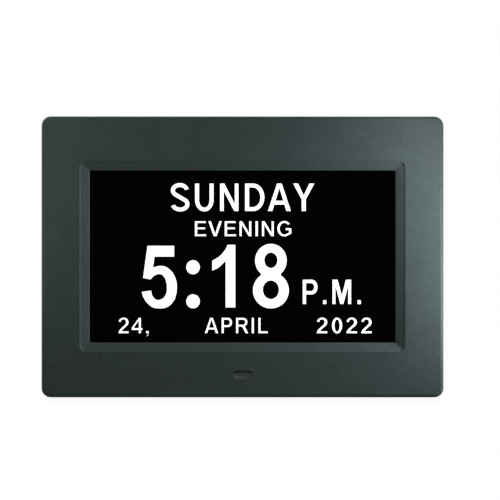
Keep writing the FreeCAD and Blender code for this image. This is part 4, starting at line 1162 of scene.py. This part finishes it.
@dataclass
class CrossScrews:
    """The four pan-head screws that hold the case together, with cross recesses."""

    face: FaceFrame
    sides: int = 40
    head: float = 0.7  # height of the head as a share of its radius
    crown: float = 0.55  # share of the head's height that its rounding takes
    arm: float = 0.62  # reach of the cross as a share of the head's radius
    taper: float = 0.55  # width of the cross at its bottom as a share of that at its mouth
    blade: float = 0.5 * MM
    recess: float = 1.3 * MM
    shank: float = 0.48  # radius of the shank as a share of the head's
    shank_sides: int = 20
    point: float = 0.3  # bevel of the shank's end as a share of the head's radius
    overlap: float = 0.05 * MM  # of the shank with the head

    def build(self) -> None:
        """Makes one screw for each solid of the node."""
        screws = [self._screw(*solid) for solid in self.face.solids("rear_cover_screws")]
        piece = join("cross_recess_screws", screws)
        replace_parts(piece, "rear_cover_screws")
        smooth(piece)
        hand_over(settle(piece, self.face.turn), Body.CASE.value, DARK_STEEL)

    def _screw(self, low: Vector, high: Vector) -> bpy.types.Object:
        """One screw in the box of the plain one.

        Args:
            low: the box's lowest corner.
            high: its highest corner.

        Returns:
            The screw.
        """
        middle = (low + high) / 2
        radius = (high.x - low.x) / 2
        head = radius * self.head
        seat = high.y - head
        blank = add_disc(radius, seat, high.y, middle, self.sides)
        with editing(blank) as shape:
            top = high.y - HAIR
            choose(blank, [edge for edge in shape.edges if min(v.co.y for v in edge.verts) > top])
            bpy.ops.mesh.bevel(offset=head * self.crown, segments=5, affect="EDGES", clamp_overlap=True)
        for across in ((radius * self.arm, self.blade / 2), (self.blade / 2, radius * self.arm)):
            reach = Vector((across[0], 0.0, across[1]))
            start = Vector((middle.x, high.y - self.recess, middle.z)) - reach
            end = Vector((middle.x, high.y + self.recess, middle.z)) + reach
            tool = add_block(start, end)
            with editing(tool, "FACE") as shape:
                choose(tool, [min(shape.faces, key=lambda side: side.normal.y)])
                bpy.ops.transform.resize(
                    value=(self.taper, 1.0, self.taper), center_override=(middle.x, start.y, middle.z)
                )
            cut(blank, tool)
        shank = add_disc(radius * self.shank, low.y, seat + self.overlap, middle, self.shank_sides)
        with editing(shank) as shape:
            bottom = low.y + HAIR
            choose(shank, [edge for edge in shape.edges if max(v.co.y for v in edge.verts) < bottom])
            bpy.ops.mesh.bevel(offset=radius * self.point, segments=1, affect="EDGES", clamp_overlap=True)
        return join("screw", [blank, shank])


@dataclass
class Keys:
    """The six key caps, with a sign on each."""

    face: FaceFrame
    edge: float = 0.35 * MM
    sign: float = 1.55 * MM  # half the height of a sign
    line: float = 0.42 * MM  # thickness of its strokes
    relief: float = 0.05 * MM

    def build(self) -> None:
        """Makes each cap and its sign."""
        tick = [(-1.5 * MM, 0.0), (-0.4 * MM, -1.1 * MM), (1.5 * MM, 1.1 * MM)]
        signs = {
            "power": self._power(),
            "menu": self._menu(),
            "up": [[(-self.sign, -0.8 * MM), (self.sign, -0.8 * MM), (0.0, 1.1 * MM)]],
            "down": [[(-self.sign, 0.8 * MM), (0.0, -1.1 * MM), (self.sign, 0.8 * MM)]],
            "back": self._back(),
            "enter": [pen(tick, self.line, self.line)],
        }
        for name, contours in signs.items():
            self._key(name, contours)

    def _power(self) -> list[Contour]:
        """A ring that is open at the top, with a bar in the gap."""
        ring = arc((0.0, -0.1 * MM), (1.25 * MM, 1.25 * MM), 130, 410, 24)
        return [pen(ring, self.line, self.line), box(-self.line / 2, -0.1 * MM, self.line / 2, 1.6 * MM)]

    def _menu(self) -> list[Contour]:
        """Three level bars."""
        half = self.line / 2
        return [box(-self.sign, z - half, self.sign, z + half) for z in (-1.0 * MM, 0.0, 1.0 * MM)]

    def _back(self) -> list[Contour]:
        """Draws an arrow that turns back.

        Returns:
            The outlines of its shaft and of its head.
        """
        turn = arc((0.5 * MM, -0.25 * MM), (0.8 * MM, 0.8 * MM), 90, -90, 12)
        path = [(-0.9 * MM, 0.55 * MM), *turn, (-0.9 * MM, -1.05 * MM)]
        head = [(-1.8 * MM, 0.55 * MM), (-0.85 * MM, -0.2 * MM), (-0.85 * MM, 1.3 * MM)]
        return [pen(path, self.line, self.line), head]

    def _key(self, name: str, contours: list[Contour]) -> None:
        """One key cap with eased edges, and its printed sign.

        Args:
            name: the key's name.
            contours: the sign's outlines about the middle of the cap.
        """
        node, body = f"key_{name}", f"{name}_key"
        low, high = self.face.box(node)
        cap = copy_node(self.face, node, f"cap_{name}")
        soften(cap, self.edge, lambda start, end: min(start.y, end.y) > high.y - 2 * HAIR)
        smooth(cap)
        hand_over(settle(cap, self.face.turn), body, KEY_PLASTIC)
        middle = (low + high) / 2
        placed = [moved(contour, (-1.0, 1.0), (middle.x, middle.z)) for contour in contours]
        sign = flat_shape(f"sign_{name}", placed, self.relief, high.y + self.relief / BEDDING)
        hand_over(settle(sign, self.face.turn), body, PRINT)


@dataclass
class Feet:
    """The rubber feet and the rubber sole of the leg."""

    face: FaceFrame
    edge: float = 0.45 * MM

    def build(self) -> None:
        """Eases the edges of the feet and the sole."""
        for node, name, body in (
            ("rubber_feet", "moulded_feet", Body.CASE),
            ("leg_sole", "moulded_sole", Body.STAND),
        ):
            pad = copy_node(self.face, node, name)
            soften(pad, self.edge, lambda start, end: True)
            smooth(pad)
            hand_over(settle(pad, self.face.turn), body.value, RUBBER)


@dataclass
class Contacts:
    """The gilt contact strips in the mouths of the two wide sockets."""

    face: FaceFrame
    relief: float = 0.06 * MM
    strip: float = 1.0 * MM
    pins: Sequence[float] = (-3.5 * MM, -1.0 * MM, 1.0 * MM, 3.5 * MM)
    pin_reach: tuple[float, float] = (7.6 * MM, 1.2 * MM)  # from the tongue's end
    springs: int = 9
    spring_pitch: float = 2.5 * MM
    spring_reach: tuple[float, float] = (7.0 * MM, 2.5 * MM)  # from the card socket's mouth
    sheet: float = 0.4 * MM

    def build(self) -> None:
        """Lays the strips on the tongue and on the floor of the card socket."""
        lift = self.relief / BEDDING
        low, high = self.face.box("usb_tongue")
        depth = low.y - lift
        self._row("tongue_contacts", high.x, (low.z + high.z) / 2, depth, self.pins, self.pin_reach)
        low, high = self.face.box("card_socket")
        depth = low.y + self.sheet + lift
        places = [(i - (self.springs - 1) / 2) * self.spring_pitch for i in range(self.springs)]
        self._row("card_contacts", high.x, (low.z + high.z) / 2, depth, places, self.spring_reach)

    def _row(
        self, name: str, mouth: float, middle: float, depth: float, places: Sequence[float], reach: Point
    ) -> None:
        """One row of strips with rounded ends.

        Args:
            name: the new piece's name.
            mouth: the x that the reach is measured from.
            middle: the z of the middle of the row.
            depth: the y of the strips.
            places: the strips' places along z.
            reach: how far inside the mouth a strip starts and ends.
        """
        half = self.strip / 2
        strips = [
            arc((mouth - reach[0] + half, middle + place), (half, half), 90, 270, 8)
            + arc((mouth - reach[1] - half, middle + place), (half, half), -90, 90, 8)
            for place in places
        ]
        row = flat_shape(name, strips, self.relief, depth)
        hand_over(settle(row, self.face.turn), Body.CASE.value, GILT)


@dataclass
class Stand:
    """The folding leg, with a shallow sunk panel on its outer side."""

    face: FaceFrame
    margin: float = 4.0 * MM
    sink: float = 0.8 * MM

    def build(self) -> None:
        """Sinks the panel and gives the leg smooth curves."""
        leg = copy_node(self.face, "stand_leg", "leg_moulding")
        with editing(leg, "FACE") as shape:
            choose(leg, [max(shape.faces, key=lambda side: side.calc_area())])
            bpy.ops.mesh.inset(thickness=self.margin)
            bpy.ops.mesh.inset(thickness=self.sink, depth=-self.sink)
        smooth(leg)
        hand_over(settle(leg, self.face.turn), Body.STAND.value, CASE_PLASTIC)


@dataclass
class Carried:
    """The nodes whose shape is right as it is, each with its finish."""

    finishes: Mapping[str, Finish] = field(
        default_factory=lambda: {
            "ir_receiver": CHIP,
            "ir_board": BOARD,
            "ir_cable": CABLE,
            "screen_gasket": FOAM,
            "lcd_front_frame": BRIGHT_STEEL,
            "lcd_panel": PANEL_GLASS,
            "panel_driver_chip": CHIP,
            "panel_flex": AMBER,
            "backlight_frame": WHITE_PLASTIC,
            "optical_films": WHITE_PLASTIC,
            "light_guide": CLEAR,
            "led_strip": WHITE_PLASTIC,
            "reflector_sheet": WHITE_PLASTIC,
            "lcd_back_plate": BRIGHT_STEEL,
            "lcd_brackets": BRIGHT_STEEL,
            "lcd_bracket_screws": BRIGHT_STEEL,
            "main_board": BOARD,
            "main_board_screws": BRIGHT_STEEL,
            "processor": CHIP,
            "memory_chips": CHIP,
            "crystal": CAN,
            "capacitors": CAN,
            "inductor": CHIP,
            "panel_connector": WHITE_PLASTIC,
            "coin_cell_holder": CHIP,
            "coin_cell": BRIGHT_STEEL,
            "dc_jack": CHIP,
            "dc_jack_pin": BRIGHT_STEEL,
            "usb_socket": BRIGHT_STEEL,
            "usb_tongue": CHIP,
            "card_socket": BRIGHT_STEEL,
            "key_board": BOARD,
            "key_switches": CHIP,
            "key_cable": CABLE,
            "small_screws": BRIGHT_STEEL,
            "speaker_frame": DARK_STEEL,
            "speaker_magnet": BRIGHT_STEEL,
            "speaker_cone": CONE,
            "speaker_gasket": FOAM,
            "speaker_leads": CABLE,
            "hinge_pins": DARK_STEEL,
        }
    )

    def build(self) -> None:
        """Puts the finishes on the nodes and on the plungers of the keys."""
        plungers = {node: KEY_PLASTIC for node in frame["nodes"] if node.startswith("plunger_")}
        for node, finish in {**self.finishes, **plungers}.items():
            piece = frame["nodes"][node]
            piece.data.materials.clear()
            piece.data.materials.append(finish.material())
            log.info("%s has the finish %s", node, finish.name)


# ---- Studio -----------------------------------------------------------------------------------------------
@dataclass(frozen=True)
class Lamp:
    """A soft lamp, placed from the middle of the face in the face's own directions."""

    name: str
    right: float
    out: float
    up: float
    width: float
    height: float
    power: float
    in_gloss: bool = True  # whether it makes highlights


@dataclass
class Studio:
    """The floor, the light and the camera."""

    face: FaceFrame
    view_width: float = 253.15 * MM  # what the camera sees across the face
    distance: float = 2.0
    aim_right: float = 3.8 * MM  # from the middle of the case to what the camera looks at
    aim_up: float = 3.5 * MM
    sensor: float = 36.0  # in millimetres, as the lens is
    floor_size: float = 12.0
    floor_drop: float = 0.02 * MM  # from the feet, so that they don't lie in one plane with it
    floor_colour: Colour = (245, 245, 245)
    floor_glow: float = 0.93  # added to what falls on the floor, for the camera alone
    ambient: float = 0.08
    lamps: Sequence[Lamp] = (
        Lamp("key_lamp", right=0.118, out=0.035, up=0.022, width=0.03, height=0.15, power=0.122),
        Lamp("side_lamp", right=1.0, out=0.13, up=0.12, width=0.2, height=0.3, power=7.0, in_gloss=False),
        Lamp("fill_lamp", right=-0.13, out=0.06, up=0.12, width=0.05, height=0.06, power=0.03),
        Lamp("edge_lamp", right=-0.118, out=0.035, up=0.02, width=0.03, height=0.1, power=0.009),
        Lamp("rear_lamp", right=0.35, out=-0.8, up=0.55, width=0.7, height=0.7, power=7.0),
        Lamp("left_lamp", right=-0.9, out=-0.35, up=0.3, width=0.6, height=0.6, power=5.0),
    )

    def build(self) -> None:
        """Sets up the whole studio."""
        low, high = self.face.box("front_bezel")
        middle = self.face.turn @ Vector(((low.x + high.x) / 2, low.y, (low.z + high.z) / 2))
        self._camera(middle)
        self._world()
        lit_by_lamps = self._all_but(self._floor())
        for lamp in self.lamps:
            self._hang(lamp, middle).light_linking.receiver_collection = lit_by_lamps

    def _camera(self, middle: Vector) -> None:
        """A long lens that looks straight at the face.

        Args:
            middle: the middle of the face.
        """
        data = bpy.data.cameras.new("camera")
        data.sensor_width = self.sensor
        data.lens = self.sensor * self.distance / self.view_width
        camera = bpy.data.objects.new("camera", data)
        bpy.context.scene.collection.objects.link(camera)
        aim = middle + self.face.right * self.aim_right + self.face.up * self.aim_up
        camera.location = aim + self.face.out * self.distance
        camera.rotation_mode = "QUATERNION"
        camera.rotation_quaternion = (-self.face.out).to_track_quat("-Z", "Y")
        bpy.context.scene.camera = camera

    def _seen(self, shader: Shader) -> Link:
        """1 for rays from the camera and for what metal and glass show, and 0 for light that falls."""
        rays = [
            shader.node("ShaderNodeLightPath", {}, {}, f"Is {kind} Ray")
            for kind in ("Camera", "Glossy", "Transmission")
        ]
        return shader.node(
            "ShaderNodeMath", {"operation": "ADD", "use_clamp": True}, {0: rays[0] + rays[1], 1: rays[2]}
        )

    def _floor(self) -> bpy.types.Object:
        """Lays a white floor that keeps the clock's soft shadow.

        Returns:
            The floor.
        """
        deselect()
        bpy.ops.mesh.primitive_plane_add(size=self.floor_size, location=(0.0, 0.0, -self.floor_drop))
        floor = bpy.context.active_object
        floor.name = "floor"
        shader = Shader(bpy.data.materials.new("white_floor"))
        paper = shader.node("ShaderNodeBsdfDiffuse", {}, {"Color": linear(self.floor_colour)})
        white = {"Color": linear(WHITE), "Strength": self.floor_glow}
        glow = shader.node("ShaderNodeEmission", {}, white)
        bright = shader.node("ShaderNodeAddShader", {}, {0: paper, 1: glow})
        mixed = shader.node("ShaderNodeMixShader", {}, {0: self._seen(shader), 1: paper, 2: bright})
        floor.data.materials.append(shader.output(mixed))
        return floor

    def _all_but(self, floor: bpy.types.Object) -> bpy.types.Collection:
        """Leaves the floor out of the lamps' light, so that only the world lights it.

        Args:
            floor: the floor.

        Returns:
            The collection that the lamps are linked to.
        """
        linked = bpy.data.collections.new("lit_by_lamps")
        linked.objects.link(floor)
        linked.collection_objects[0].light_linking.link_state = "EXCLUDE"
        return linked

    def _world(self) -> None:
        """White to the camera, and a soft grey light on everything else."""
        world = bpy.data.worlds.new("studio")
        bpy.context.scene.world = world
        shader = Shader(world)
        strength = self._seen(shader) * (1 - self.ambient) + self.ambient
        white = {"Color": linear(WHITE), "Strength": strength}
        shader.output(shader.node("ShaderNodeBackground", {}, white), "ShaderNodeOutputWorld")

    def _hang(self, lamp: Lamp, middle: Vector) -> bpy.types.Object:
        """Hangs a lamp so that it shines at the middle of the face.

        Args:
            lamp: its place, size and power.
            middle: the middle of the face.

        Returns:
            The lamp's object.
        """
        data = bpy.data.lights.new(lamp.name, "AREA")
        data.shape = "RECTANGLE"
        data.size = lamp.width
        data.size_y = lamp.height
        data.energy = lamp.power
        light = bpy.data.objects.new(lamp.name, data)
        bpy.context.scene.collection.objects.link(light)
        way = self.face.right * lamp.right + self.face.out * lamp.out + self.face.up * lamp.up
        light.location = middle + way
        light.rotation_mode = "QUATERNION"
        light.rotation_quaternion = (-way).to_track_quat("-Z", "Y")
        light.visible_camera = False
        light.visible_glossy = lamp.in_gloss
        return light


def main() -> None:
    """Builds the clock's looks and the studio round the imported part."""
    logging.basicConfig(level=logging.INFO, format="%(name)s: %(message)s")
    face = FaceFrame("power_press")
    Studio(face).build()
    Carried().build()
    assemblies = [Display, Housing, ReceiverWindow, CrossScrews, Keys, Contacts, Feet, Stand]
    for assembly in [kind(face) for kind in assemblies]:
        log.info("building %s", type(assembly).__name__)
        assembly.build()
    bpy.context.scene.view_settings.view_transform = "Standard"


if __name__ == "__main__":
    main()
